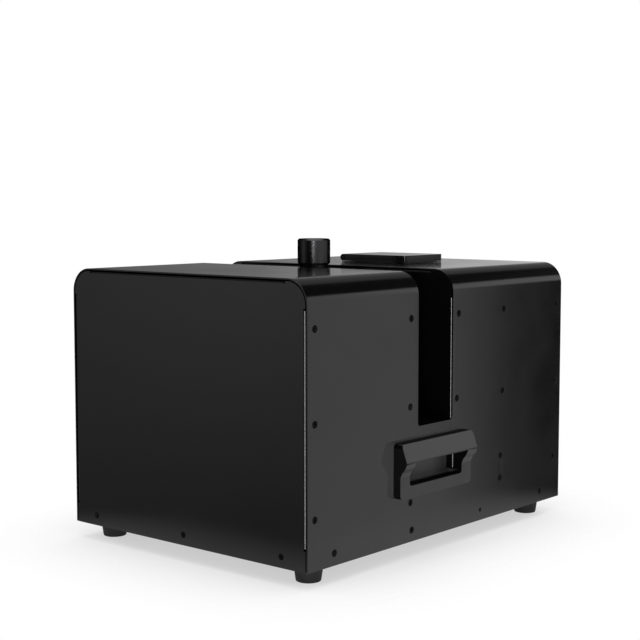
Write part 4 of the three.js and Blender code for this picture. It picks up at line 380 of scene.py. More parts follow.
@dataclass(frozen=True)
class Fastener:
    """A screw's head, made with its seat at height 0 and its drive on top."""

    radius: float
    rise: float
    drive: Drive = Drive.CROSS
    dome: float = 0.0
    sink: float = 0.0
    hexagon_share: float = 0.48
    cross_shares: Point = (0.52, 0.14)
    depth_share: float = 0.55
    rim_share: float = 0.9
    top_drop: float = 0.05

    def recess(self) -> list[Point]:
        """Lists the outline of the drive's recess.

        Returns:
            The points in order.
        """
        if self.drive is Drive.HEX:
            return arc((0, 0), self.radius * self.hexagon_share, 0, FULL_TURN, 6)[:-1]
        long, half = (self.radius * share for share in self.cross_shares)
        quarter = [(long, -half), (long, half), (half, half)]
        points: list[Point] = []
        for i in range(4):
            cos, sin = round(math.cos(i * QUARTER)), round(math.sin(i * QUARTER))
            points += [(u * cos - v * sin, u * sin + v * cos) for u, v in quarter]
        return points

    def build(self) -> bmesh.types.BMesh:
        """Builds the head as one closed mesh.

        Returns:
            The mesh.
        """
        bm = bmesh.new()
        outer = loop(bm, arc((0, 0), self.radius, 0, FULL_TURN, 20)[:-1])
        inner = loop(bm, self.recess())
        bmesh.ops.triangle_fill(
            bm, use_beauty=True, use_dissolve=False, edges=bm.edges[:], normal=(0, 0, 1)
        )
        top = self.rise - self.top_drop
        bmesh.ops.translate(bm, verts=bm.verts[:], vec=(0, 0, top * MM))
        depth = self.rise + self.sink
        for edges, drop in ((inner, depth * self.depth_share), (outer, depth)):
            wall = bmesh.ops.extrude_edge_only(bm, edges=edges)["geom"]
            verts = [g for g in wall if isinstance(g, bmesh.types.BMVert)]
            bmesh.ops.translate(bm, verts=verts, vec=(0, 0, -drop * MM))
            rim = [g for g in wall if isinstance(g, bmesh.types.BMEdge)]
            rim = [e for e in rim if all(v in verts for v in e.verts)]
            bmesh.ops.contextual_create(bm, geom=rim)
        bmesh.ops.recalc_face_normals(bm, faces=bm.faces[:])
        if self.dome > 0:
            edges = [
                e for e in sharp_edges(bm)
                if all(abs(v.co.z - top * MM) < WELD for v in e.verts)
                and all(v.co.xy.length > self.radius * self.rim_share * MM for v in e.verts)
            ]
            soften(bm, self.dome, 4, edges)
        return bm


# Finishes


class Effect:
    """Shared shader node groups, each built the first time that a finish asks for it."""

    def __init__(self) -> None:
        """Starts with no group built."""
        self.groups: dict[str, bpy.types.NodeTree] = {}

    def group(self, name: str) -> bpy.types.NodeTree:
        """Gives one effect's node group, and builds it first if need be.

        Args:
            name: the effect's name, which is also its method's.

        Returns:
            The node group.
        """
        if name not in self.groups:
            self.groups[name] = getattr(self, name)()
        return self.groups[name]

    @staticmethod
    def start(
        name: str, inputs: dict[str, tuple[str, Any]], outputs: Iterable[str]
    ) -> tuple[bpy.types.NodeTree, Any, Any]:
        """Makes an empty group with its sockets.

        Args:
            name: the group's name.
            inputs: each input's socket kind and first value.
            outputs: the names of the plain number outputs.

        Returns:
            The tree, its input node and its output node.
        """
        tree = bpy.data.node_groups.new(name, "ShaderNodeTree")
        for label, (kind, value) in inputs.items():
            socket = tree.interface.new_socket(
                name=label, in_out="INPUT", socket_type=f"NodeSocket{kind}"
            )
            if kind == "Float":
                socket.default_value = value
        for label in outputs:
            tree.interface.new_socket(
                name=label, in_out="OUTPUT", socket_type="NodeSocketFloat"
            )
        return tree, tree.nodes.new("NodeGroupInput"), tree.nodes.new("NodeGroupOutput")

    @staticmethod
    def noise(tree: Any, vector: Any, scale: Any, detail: float, rough: float = 0.55) -> Any:
        """Adds a noise texture and gives its number output.

        Args:
            tree: the node tree.
            vector: the socket with the coordinates.
            scale: a socket or a number.
            detail: octaves of detail.
            rough: how strong the finer octaves are.

        Returns:
            The output socket.
        """
        node = tree.nodes.new("ShaderNodeTexNoise")
        node.inputs["Detail"].default_value = detail
        node.inputs["Roughness"].default_value = rough
        tree.links.new(vector, node.inputs["Vector"])
        if isinstance(scale, (int, float)):
            node.inputs["Scale"].default_value = scale
        else:
            tree.links.new(scale, node.inputs["Scale"])
        return node.outputs[0]

    @staticmethod
    def math(tree: Any, operation: str, first: Any, second: Any, clamp: bool = False) -> Any:
        """Adds a math node and gives its output.

        Args:
            tree: the node tree.
            operation: the node's operation.
            first: a socket or a number.
            second: a socket or a number.
            clamp: whether the result is kept between 0 and 1.

        Returns:
            The output socket.
        """
        node = tree.nodes.new("ShaderNodeMath")
        node.operation = operation
        node.use_clamp = clamp
        for slot, value in zip(node.inputs, (first, second)):
            if isinstance(value, (int, float)):
                slot.default_value = value
            else:
                tree.links.new(value, slot)
        return node.outputs[0]

    @staticmethod
    def remap(tree: Any, value: Any, low: float, high: float, out: Point = (0.0, 1.0)) -> Any:
        """Adds a node that spreads a range of values over another.

        Args:
            tree: the node tree.
            value: the socket to spread.
            low: the value that becomes the lowest.
            high: the value that becomes the highest.
            out: the lowest and the highest result.

        Returns:
            The output socket.
        """
        node = tree.nodes.new("ShaderNodeMapRange")
        node.inputs["From Min"].default_value = low
        node.inputs["From Max"].default_value = high
        node.inputs["To Min"].default_value = out[0]
        node.inputs["To Max"].default_value = out[1]
        tree.links.new(value, node.inputs["Value"])
        return node.outputs[0]

    @staticmethod
    def wrap(tree: Any, angle: Any) -> Any:
        """Brings an angle in degrees between -180 and 180.

        Args:
            tree: the node tree.
            angle: the socket with the angle.

        Returns:
            The output socket.
        """
        node = tree.nodes.new("ShaderNodeMath")
        node.operation = "WRAP"
        node.inputs[1].default_value = 180.0
        node.inputs[2].default_value = -180.0
        tree.links.new(angle, node.inputs[0])
        return node.outputs[0]

    def surface_grain(self) -> bpy.types.NodeTree:
        """Builds the fine relief of sprayed paint, castings and moulded skins.

        Returns:
            The node group.
        """
        tree, start, end = self.start(
            "surface_grain",
            {"Vector": ("Vector", None), "Scale": ("Float", 900.0)},
            ("Height", "Mottle"),
        )
        vector, scale = start.outputs["Vector"], start.outputs["Scale"]
        fine = self.noise(tree, vector, scale, 3.0)
        coarse = self.noise(tree, vector, self.math(tree, "MULTIPLY", scale, 0.31), 2.0)
        height = self.math(tree, "ADD", self.math(tree, "MULTIPLY", fine, 0.65),
                           self.math(tree, "MULTIPLY", coarse, 0.35))
        tree.links.new(height, end.inputs["Height"])
        broad = self.noise(tree, vector, self.math(tree, "MULTIPLY", scale, 0.012), 4.0)
        tree.links.new(self.remap(tree, broad, 0.3, 0.7), end.inputs["Mottle"])
        return tree

    def handling_marks(self) -> bpy.types.NodeTree:
        """Builds the faint smears and rubbed patches that change the gloss.

        Returns:
            The node group.
        """
        tree, start, end = self.start(
            "handling_marks",
            {"Vector": ("Vector", None), "Scale": ("Float", 14.0), "Amount": ("Float", 0.1)},
            ("Roughness",),
        )
        vector, scale = start.outputs["Vector"], start.outputs["Scale"]
        smear = self.remap(tree, self.noise(tree, vector, scale, 6.0, 0.62), 0.35, 0.68, (-1, 1))
        specks = self.noise(tree, vector, self.math(tree, "MULTIPLY", scale, 22.0), 2.0)
        specks = self.remap(tree, specks, 0.62, 0.75, (0, 0.5))
        both = self.math(tree, "ADD", smear, specks)
        tree.links.new(
            self.math(tree, "MULTIPLY", both, start.outputs["Amount"]), end.inputs["Roughness"]
        )
        return tree

    def edge_wear(self) -> bpy.types.NodeTree:
        """Builds a broken mask along the outer edges, from the bevelled normal.

        Returns:
            The node group.
        """
        tree, start, end = self.start(
            "edge_wear",
            {"Vector": ("Vector", None), "Amount": ("Float", 0.3), "Width": ("Float", 0.0006)},
            ("Mask",),
        )
        rounded = tree.nodes.new("ShaderNodeBevel")
        rounded.samples = 4
        tree.links.new(start.outputs["Width"], rounded.inputs["Radius"])
        plain = tree.nodes.new("ShaderNodeNewGeometry")
        turn = tree.nodes.new("ShaderNodeVectorMath")
        turn.operation = "DOT_PRODUCT"
        tree.links.new(rounded.outputs[0], turn.inputs[0])
        tree.links.new(plain.outputs["Normal"], turn.inputs[1])
        edge = self.remap(tree, turn.outputs["Value"], 0.995, 0.86)
        breaks = self.noise(tree, start.outputs["Vector"], 160.0, 5.0, 0.7)
        breaks = self.remap(tree, breaks, 0.42, 0.62)
        mask = self.math(tree, "MULTIPLY", edge, breaks)
        mask = self.math(tree, "MULTIPLY", mask, start.outputs["Amount"], True)
        tree.links.new(mask, end.inputs["Mask"])
        return tree

    def settled_dust(self) -> bpy.types.NodeTree:
        """Builds a thin patchy film of dust on the faces that look up.

        Returns:
            The node group.
        """
        tree, start, end = self.start(
            "settled_dust",
            {"Vector": ("Vector", None), "Amount": ("Float", 0.1)},
            ("Mask",),
        )
        geometry = tree.nodes.new("ShaderNodeNewGeometry")
        split = tree.nodes.new("ShaderNodeSeparateXYZ")
        tree.links.new(geometry.outputs["Normal"], split.inputs[0])
        level = self.remap(tree, split.outputs["Z"], 0.35, 0.95)
        patches = self.noise(tree, start.outputs["Vector"], 38.0, 8.0, 0.66)
        patches = self.remap(tree, patches, 0.38, 0.7)
        mask = self.math(tree, "MULTIPLY", level, patches)
        mask = self.math(tree, "MULTIPLY", mask, start.outputs["Amount"], True)
        tree.links.new(mask, end.inputs["Mask"])
        return tree

    def painted_light_masks(self) -> bpy.types.NodeTree:
        """Builds the masks of a grip's painted light: sideways faces escape the painted shade,
        up-sloping faces get a painted highlight.

        Returns:
            The node group.
        """
        tree, start, end = self.start(
            "painted_light_masks", {"Vector": ("Vector", None)}, ("Outer", "Painted Highlight")
        )
        geometry = tree.nodes.new("ShaderNodeNewGeometry")
        split = tree.nodes.new("ShaderNodeSeparateXYZ")
        tree.links.new(geometry.outputs["Normal"], split.inputs[0])
        # Faces that don't look sideways will get painted shade.
        sideways = self.math(tree, "ABSOLUTE", split.outputs["X"], 0.0)
        tree.links.new(self.remap(tree, sideways, 0.66, 0.88), end.inputs["Outer"])
        # Faces that slope up get a painted highlight, made patchy by the noise below.
        slope = self.remap(tree, split.outputs["Z"], 0.1, 0.38)
        worn = self.noise(tree, start.outputs["Vector"], 45.0, 4.0)
        worn = self.remap(tree, worn, 0.2, 0.6, (0.85, 1.0))
        tree.links.new(self.math(tree, "MULTIPLY", slope, worn), end.inputs["Painted Highlight"])
        return tree

    def brushed_lines(self) -> bpy.types.NodeTree:
        """Builds the long fine lines of drawn, turned or brushed metal.

        Returns:
            The node group.
        """
        tree, start, end = self.start(
            "brushed_lines",
            {"Vector": ("Vector", None), "Stretch": ("Vector", None)},
            ("Height", "Shade"),
        )
        scaled = tree.nodes.new("ShaderNodeVectorMath")
        scaled.operation = "MULTIPLY"
        tree.links.new(start.outputs["Vector"], scaled.inputs[0])
        tree.links.new(start.outputs["Stretch"], scaled.inputs[1])
        lines = self.noise(tree, scaled.outputs[0], 1.0, 3.0, 0.6)
        tree.links.new(lines, end.inputs["Height"])
        tree.links.new(self.remap(tree, lines, 0.3, 0.7), end.inputs["Shade"])
        return tree


EFFECT = Effect()


@dataclass(frozen=True)
class Finish:
    """One surface finish: its own colour and gloss, with the shared effects laid over them."""

    slot: str
    colour: Colour
    roughness: float
    metallic: float = 0.0
    specular: float = 0.5
    grain_scale: float = 900.0
    grain_depth: float = 0.03
    mottle: float = 0.12
    marks: float = 0.06
    wear: float = 0.0
    wear_colour: Colour = (0.35, 0.35, 0.36)
    dust: float = 0.03
    dust_colour: Colour = (0.22, 0.21, 0.2)
    stretch: tuple[float, float, float] | None = None
    edge_tint: float = 1.0
    name: str = ""
    line_share: float = 0.35
    line_shade: float = 0.72
    film_roughness: float = 0.5
    bump_strength: float = 0.6

    def material(self) -> bpy.types.Material:
        """Gives the finish's material, made once."""
        return bpy.data.materials.get(self.name or f"{self.slot}_finish") or self.build()

    def build(self) -> bpy.types.Material:
        """Builds the material from the finish's own values and the shared effects.

        Returns:
            The material.
        """
        material = bpy.data.materials.new(self.name or f"{self.slot}_finish")
        material.use_nodes = True
        tree = material.node_tree
        shader = tree.nodes["Principled BSDF"]
        shader.inputs["Specular IOR Level"].default_value = self.specular
        shader.inputs["Specular Tint"].default_value = (*[self.edge_tint] * 3, 1.0)
        shader.inputs["Metallic"].default_value = self.metallic
        vector = tree.nodes.new("ShaderNodeTexCoord").outputs["Object"]
        grain = self.effect(tree, "surface_grain", vector, Scale=self.grain_scale)
        marks = self.effect(tree, "handling_marks", vector, Amount=self.marks)
        dust = self.effect(tree, "settled_dust", vector, Amount=self.dust)
        darker = tuple(c * (1 - self.mottle) for c in self.colour)
        lighter = tuple(c * (1 + self.mottle) for c in self.colour)
        colour = self.mix(tree, grain.outputs["Mottle"], darker, lighter)
        height = grain.outputs["Height"]
        if self.stretch:
            lines = self.effect(tree, "brushed_lines", vector)
            lines.inputs["Stretch"].default_value = self.stretch
            shade = Effect.remap(tree, lines.outputs["Shade"], 0, 1, (0.0, self.line_share))
            dull = tuple(c * self.line_shade for c in self.colour)
            colour = self.mix(tree, shade, colour, dull)
            height = Effect.math(tree, "ADD", height, lines.outputs["Height"])
        if self.wear:
            worn = self.effect(tree, "edge_wear", vector, Amount=self.wear)
            colour = self.mix(tree, worn.outputs["Mask"], colour, self.wear_colour)
        colour = self.mix(tree, dust.outputs["Mask"], colour, self.dust_colour)
        tree.links.new(colour, shader.inputs["Base Color"])
        rough = Effect.math(tree, "ADD", marks.outputs["Roughness"], self.roughness, True)
        film = Effect.math(tree, "MULTIPLY", dust.outputs["Mask"], self.film_roughness)
        rough = Effect.math(tree, "ADD", rough, film, True)
        tree.links.new(rough, shader.inputs["Roughness"])
        bump = tree.nodes.new("ShaderNodeBump")
        bump.inputs["Strength"].default_value = self.bump_strength
        bump.inputs["Distance"].default_value = self.grain_depth * MM
        tree.links.new(height, bump.inputs["Height"])
        tree.links.new(bump.outputs[0], shader.inputs["Normal"])
        self.details(tree, shader, vector, colour)
        return material

    def details(self, tree: Any, shader: Any, vector: Any, colour: Any) -> None:
        """Adds what only one kind of finish has; a plain finish has nothing more."""

    @staticmethod
    def effect(tree: Any, name: str, vector: Any, **values: float) -> Any:
        """Places one shared effect in a material.

        Args:
            tree: the material's tree.
            name: the effect's name.
            vector: the socket with the coordinates.
            values: the values of its other inputs.

        Returns:
            The group node.
        """
        node = tree.nodes.new("ShaderNodeGroup")
        node.node_tree = EFFECT.group(name)
        tree.links.new(vector, node.inputs["Vector"])
        for label, value in values.items():
            node.inputs[label].default_value = value
        return node

    @staticmethod
    def mix(tree: Any, factor: Any, first: Any, second: Any) -> Any:
        """Mixes two colours by a mask.

        Args:
            tree: the material's tree.
            factor: the mask's socket.
            first: a colour or a socket, shown where the mask is 0.
            second: a colour or a socket, shown where the mask is 1.

        Returns:
            The mixed colour's socket.
        """
        node = tree.nodes.new("ShaderNodeMix")
        node.data_type = "RGBA"
        tree.links.new(factor, node.inputs[0])
        for slot, value in ((node.inputs[6], first), (node.inputs[7], second)):
            if isinstance(value, tuple):
                slot.default_value = (*value, 1.0)
            else:
                tree.links.new(value, slot)
        return node.outputs[2]


@dataclass(frozen=True)
class LacqueredBoard(Finish):
    """A circuit board: green lacquer over copper tracks."""

    track_colour: Colour = (0.03, 0.16, 0.07)
    track_scale: float = 120.0
    track_width: float = 0.06
    gap_shade: float = 0.25

    def details(self, tree: Any, shader: Any, vector: Any, colour: Any) -> None:
        """Draws the tracks as a lighter net under the lacquer.

        Args:
            tree: the material's tree.
            shader: its shader.
            vector: the socket with the coordinates.
            colour: the colour so far.
        """
        cells = tree.nodes.new("ShaderNodeTexBrick")
        cells.inputs["Scale"].default_value = self.track_scale
        cells.inputs["Mortar Size"].default_value = self.track_width
        cells.inputs["Color1"].default_value = (0, 0, 0, 1)
        cells.inputs["Color2"].default_value = (*[self.gap_shade] * 3, 1)
        cells.inputs["Mortar"].default_value = (1, 1, 1, 1)
        tree.links.new(vector, cells.inputs["Vector"])
        colour = self.mix(tree, cells.outputs["Color"], colour, self.track_colour)
        tree.links.new(colour, shader.inputs["Base Color"])


@dataclass(frozen=True)
class GripWithPaintedLight(Finish):
    """A moulded grip with painted light: a painted highlight on its sloping hood and pocket wall,
    painted shade on faces that don't look sideways.
    """

    # The first colour below is a painted highlight for the sloping hood and the pocket's back wall,
    # the second a painted shade for faces that don't look sideways.
    painted_highlight_colour: Colour = (0.06, 0.06, 0.061)
    painted_shade_colour: Colour = (0.001, 0.001, 0.0011)
    mirrored_colour: Colour = (0.66, 0.66, 0.66)
    middle: float = -33.75
    inner_half: float = 59.0
    inner_top: float = 126.0
    # Inside this half-width the pocket's back wall gets the painted highlight, fading towards the
    # rear over the span below.
    pocket_bottom: float = 168.0
    shade: Point = (-14.0, 6.0)

    def details(self, tree: Any, shader: Any, vector: Any, colour: Any) -> None:
        """Paints shade on faces that don't look sideways, and a highlight on up-sloping faces and
        on the pocket's back wall, fading towards the rear.

        Rays that the paint mirrors see a grip paler than it is, which keeps its mirror image
        faint.

        Args:
            tree: the material's tree.
            shader: its shader.
            vector: the socket with the coordinates.
            colour: the colour so far.
        """
        split = tree.nodes.new("ShaderNodeSeparateXYZ")
        tree.links.new(vector, split.inputs[0])
        # Painted highlight on the pocket's back wall, fading towards the rear.
        deep = Effect.math(
            tree, "LESS_THAN", Effect.math(tree, "ABSOLUTE", split.outputs["X"], 0.0),
            self.pocket_bottom * MM,
        )
        shade = Effect.remap(
            tree, split.outputs["Y"], self.shade[0] * MM, self.shade[1] * MM, (1.0, 0.0)
        )
        light_masks = self.effect(tree, "painted_light_masks", vector)
        # Painted highlight: the pocket's back wall and the faces that slope up.
        highlight_mask = Effect.math(tree, "MULTIPLY", deep, shade)
        highlight_mask = Effect.math(tree, "MAXIMUM", highlight_mask, light_masks.outputs["Painted Highlight"])
        colour = self.mix(tree, highlight_mask, colour, self.painted_highlight_colour)
        # Painted shade on every face that doesn't look sideways.
        colour = self.mix(tree, light_masks.outputs["Outer"], self.painted_shade_colour, colour)
        along = Effect.math(tree, "SUBTRACT", split.outputs["Y"], self.middle * MM)
        ends = Effect.math(
            tree, "GREATER_THAN", Effect.math(tree, "ABSOLUTE", along, 0.0), self.inner_half * MM
        )
        top = Effect.math(tree, "GREATER_THAN", split.outputs["Z"], self.inner_top * MM)
        outside = Effect.math(tree, "MAXIMUM", ends, top)
        path = tree.nodes.new("ShaderNodeLightPath")
        paler = Effect.math(tree, "MULTIPLY", path.outputs["Is Glossy Ray"], outside)
        colour = self.mix(tree, paler, colour, self.mirrored_colour)
        tree.links.new(colour, shader.inputs["Base Color"])


@dataclass(frozen=True)
class TintedGlass(Finish):
    """A tinted window with a hard clear surface over it."""

    coat: float = 0.6
    coat_roughness: float = 0.05

    def details(self, tree: Any, shader: Any, vector: Any, colour: Any) -> None:
        """Lays a clear hard coat over the tint.

        Args:
            tree: the material's tree; not used.
            shader: its shader.
            vector: the socket with the coordinates; not used.
            colour: the colour so far; not used.
        """
        shader.inputs["Coat Roughness"].default_value = self.coat_roughness
        shader.inputs["Coat Weight"].default_value = self.coat


PAINT = Finish(
    "case_paint", (0.0015, 0.0015, 0.0017), 0.15, grain_scale=1500.0, grain_depth=0.004,
    mottle=0.12, marks=0.02, wear=0.1, wear_colour=(0.05, 0.05, 0.052), dust=0.004,
)
BLACK_SCREW = Finish(
    "dark_steel", (0.001, 0.001, 0.001), 0.45, 0.0, specular=0.04, grain_scale=2500.0,
    grain_depth=0.01, wear=0.5, wear_colour=(0.09, 0.09, 0.09), dust=0.0, name="black_screw",
)
SCREW = Finish(
    "dark_steel", (0.028, 0.028, 0.03), 0.38, 0.7, grain_scale=2500.0, grain_depth=0.01,
    wear=0.35, wear_colour=(0.3, 0.3, 0.3),
)
PIPE = Finish(
    "dark_steel", (0.02, 0.02, 0.021), 0.32, 1.0, grain_scale=2200.0, grain_depth=0.008,
    wear=0.1, wear_colour=(0.1, 0.1, 0.1), edge_tint=0.08, name="blackened_pipe",
)
ZINC = Finish(
    "zinc_sheet", (0.5, 0.51, 0.53), 0.36, 0.95, grain_scale=420.0, mottle=0.2, marks=0.12,
    grain_depth=0.01, wear=0.2, wear_colour=(0.7, 0.7, 0.72),
)
RUBBER = Finish(
    "foot_rubber", (0.013, 0.013, 0.013), 0.72, specular=0.35, grain_scale=1300.0,
    grain_depth=0.06, mottle=0.2, marks=0.08, dust=0.1,
)
# The grip's colours include a painted highlight and a painted shade.
GRIP = GripWithPaintedLight(
    "grip_plastic", (0.042, 0.042, 0.043), 0.46, specular=0.12, grain_scale=1900.0,
    grain_depth=0.035, mottle=0.12, marks=0.07, wear=0.2, wear_colour=(0.08, 0.08, 0.082),
)
LID = Finish(
    "lid_aluminium", (0.005, 0.005, 0.006), 0.12, specular=0.25, grain_scale=2200.0,
    grain_depth=0.004, mottle=0.1, marks=0.03, wear=0.06, wear_colour=(0.1, 0.1, 0.105),
    dust=0.0,
)
CAP = Finish(
    "lid_aluminium", (0.05, 0.05, 0.052), 0.26, 1.0, grain_scale=2200.0, grain_depth=0.006,
    mottle=0.1, marks=0.04, wear=0.3, wear_colour=(0.3, 0.3, 0.31), edge_tint=0.08,
    name="turned_cap",
)
ALUMINIUM = Finish(
    "bare_aluminium", (0.62, 0.63, 0.64), 0.33, 0.97, grain_scale=900.0, grain_depth=0.012,
    mottle=0.08, marks=0.1, stretch=(60.0, 1400.0, 60.0),
)
BRIGHT = Finish(
    "bright_steel", (0.5, 0.5, 0.51), 0.26, 0.97, grain_scale=1600.0, grain_depth=0.008,
    mottle=0.06, marks=0.08, stretch=(90.0, 90.0, 1600.0),
)
# Bright bare steel for the strip that stands in for a highlight in each grip's pocket.
PAINTED_HIGHLIGHT_STEEL = Finish(
    "dark_steel", (0.16, 0.16, 0.165), 0.4, 0.9, grain_scale=1600.0, grain_depth=0.008,
    name="painted_highlight_steel",
)
SILICONE = Finish(
    "silicone", (0.22, 0.028, 0.018), 0.58, grain_scale=700.0, grain_depth=0.02, mottle=0.15,
)
BELT = Finish(
    "belt_rubber", (0.014, 0.014, 0.014), 0.7, specular=0.3, grain_scale=1500.0,
    grain_depth=0.05, mottle=0.25,
)
BRASS = Finish(
    "feed_brass", (0.58, 0.38, 0.13), 0.32, 0.97, grain_scale=1200.0, grain_depth=0.01,
    mottle=0.14, marks=0.1, stretch=(80.0, 1200.0, 80.0),
)
PLASTIC = Finish(
    "black_plastic", (0.018, 0.018, 0.019), 0.5, specular=0.45, grain_scale=1700.0,
    grain_depth=0.03, mottle=0.12, marks=0.06, dust=0.05,
)
RED = Finish(
    "red_plastic", (0.42, 0.02, 0.016), 0.34, grain_scale=1700.0, grain_depth=0.015,
    mottle=0.06, marks=0.05,
)
SUPPLY = Finish(
    "supply_case", (0.55, 0.56, 0.58), 0.4, 0.9, grain_scale=600.0, grain_depth=0.012,
    mottle=0.12, marks=0.1, stretch=(1500.0, 70.0, 70.0),
)
BOARD = LacqueredBoard(
    "circuit_board", (0.012, 0.085, 0.035), 0.34, grain_scale=1400.0, grain_depth=0.01,
)
GLASS = TintedGlass(
    "display_glass", (0.006, 0.008, 0.012), 0.12, grain_scale=500.0, grain_depth=0.001,
    mottle=0.05, marks=0.02, dust=0.0,
)


class Bench:
    """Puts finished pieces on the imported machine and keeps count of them."""

    def __init__(self, frame: dict[str, Any]) -> None:
        """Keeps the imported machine's nodes.
        """
        self.nodes: dict[str, bpy.types.Object] = frame["nodes"]
        self.made: list[str] = []

    def add(
        self, name: str, bm: bmesh.types.BMesh, finish: Finish, body: str = "case",
        replaces: Sequence[str] = (),
    ) -> bpy.types.Object:
        """Turns a mesh into a finished piece that rides on a body.

        Args:
            name: the piece's name.
            bm: its mesh, in metres and in place.
            finish: its surface.
            body: the body that carries it.
            replaces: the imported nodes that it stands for.

        Returns:
            The piece.
        """
        mesh = bpy.data.meshes.new(name)
        bmesh.ops.dissolve_degenerate(bm, dist=WELD, edges=bm.edges[:])
        bm.to_mesh(mesh)
        bm.free()
        mesh.polygons.foreach_set("use_smooth", [True] * len(mesh.polygons))
        mesh.set_sharp_from_angle(angle=SHARP)
        mesh.materials.append(finish.material())
        piece = bpy.data.objects.new(name, mesh)
        bpy.context.scene.collection.objects.link(piece)
        even = piece.modifiers.new("even_shading", "WEIGHTED_NORMAL")
        even.keep_sharp = True
        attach(piece, body)
        if replaces:
            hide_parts(*replaces)
        self.made.append(name)
        log.info("%s: %d faces on %s", name, len(mesh.polygons), body)
        return piece

    def copy(self, node: str, width: float, segments: int = 2) -> bmesh.types.BMesh:
        """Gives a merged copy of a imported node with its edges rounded.

        Args:
            node: the node's name.
            width: the rounding's width in millimetres.
            segments: strips in each rounding.

        Returns:
            The copy's mesh.
        """
        bm = bmesh.new()
        bm.from_mesh(self.nodes[node].data)
        bmesh.ops.remove_doubles(bm, verts=bm.verts[:], dist=WELD * 10)
        bmesh.ops.dissolve_limit(
            bm, angle_limit=math.radians(0.4), verts=bm.verts[:], edges=bm.edges[:],
            use_dissolve_boundaries=False,
        )
        bmesh.ops.recalc_face_normals(bm, faces=bm.faces[:])
        soften(bm, width, segments)
        return bm


# Sub-assemblies


@dataclass
class Casing:
    """The bent outer sheet with its slot, and the screws along both sides."""

    half: float = 175.0
    front: float = -237.5
    rear: float = 237.5
    top: float = 308.0
    bottom: float = 18.0
    bend: float = 26.0
    sheet: float = 1.5
    slot: Point = (-56.5, 7.5)
    sill: float = 142.0
    slot_corner: float = 4.0
    mouth: tuple[float, float, float, float] = (-23.0, 52.0, 79.5, 136.3)
    grip_hole: tuple[float, float, float, float] = (-84.8, 15.8, 79.7, 127.3)
    screw: Fastener = Fastener(3.6, 0.0, Drive.HEX, sink=1.2)
    small_screw: Fastener = Fastener(2.2, 0.0, Drive.CROSS, sink=1.2)
    screws: tuple[Point, ...] = (
        (-226.5, 259.0), (-226.5, 165.0), (-226.5, 70.0), (-196.5, 31.0), (-69.5, 259.0),
        (-70.5, 164.5), (-69.5, 61.0), (-67.0, 30.7), (18.5, 259.0), (16.0, 164.6),
        (109.5, 259.0), (108.5, 163.5), (105.5, 87.5), (105.5, 61.0), (226.5, 258.0),
        (224.5, 164.0), (223.1, 70.0), (193.5, 31.0),
    )
    small_screws: tuple[Point, ...] = ((64.1, 30.3), (232.5, 146.0))
    screw_room: float = 0.25
    small_screw_room: float = 0.2
    screw_turn: float = 37.0
    mouth_corner: float = 1.0
    grip_corner: float = 4.0
    bend_steps: int = 14

    def down(self, z: float) -> float:
        """Gives how far from the middle of the flat sheet a height on a side lies."""
        return self.half - self.bend + self.bend * QUARTER + self.top - self.bend - z

    def build(self, bench: Bench) -> None:
        """Builds the shell and its screws.

        Args:
            bench: where the pieces go.
        """
        reach = self.down(self.bottom)
        blank = Blank([
            (-reach, self.front), (reach, self.front), (reach, self.rear), (-reach, self.rear),
        ])
        sill = self.down(self.sill)
        blank.cut(rounded_rectangle(-sill, sill, *self.slot, self.slot_corner))
        left, right, front, rear = self.mouth
        blank.cut(rounded_rectangle(left, right, front, rear, self.mouth_corner, 3))
        front, rear, low, high = self.grip_hole
        for hand in (-1, 1):
            ends = sorted((hand * self.down(low), hand * self.down(high)))
            blank.cut(rounded_rectangle(*ends, front, rear, self.grip_corner))
            for y, z in self.screws:
                blank.drill(hand * self.down(z), y, self.screw.radius + self.screw_room)
            for y, z in self.small_screws:
                radius = self.small_screw.radius + self.small_screw_room
                blank.drill(hand * self.down(z), y, radius, 16)
        flat = self.half - self.bend
        folds = [Fold((hand, 0.0), flat, self.bend) for hand in (-1.0, 1.0)]
        shell = blank.press(self.sheet, folds, steps=self.bend_steps)
        bmesh.ops.translate(shell, verts=shell.verts[:], vec=(0, 0, self.top * MM))
        bench.add("casing_shell", shell, PAINT, replaces=["outer_shell"])
        self.fit_screws(bench)

    def fit_screws(self, bench: Bench) -> None:
        """Puts the flush screws in both sides.

        Args:
            bench: where the pieces go.
        """
        for side, heading, hand in (("right", Heading.RIGHT, 1), ("left", Heading.LEFT, -1)):
            heads = bmesh.new()
            for fastener, places in (
                (self.screw, self.screws), (self.small_screw, self.small_screws)
            ):
                head = fastener.build()
                for index, (y, z) in enumerate(places):
                    place = placed(heading, hand * self.half, y, z, index * self.screw_turn)
                    stamp(heads, head, place)
                head.free()
            bench.add(f"side_screws_{side}", heads, BLACK_SCREW)


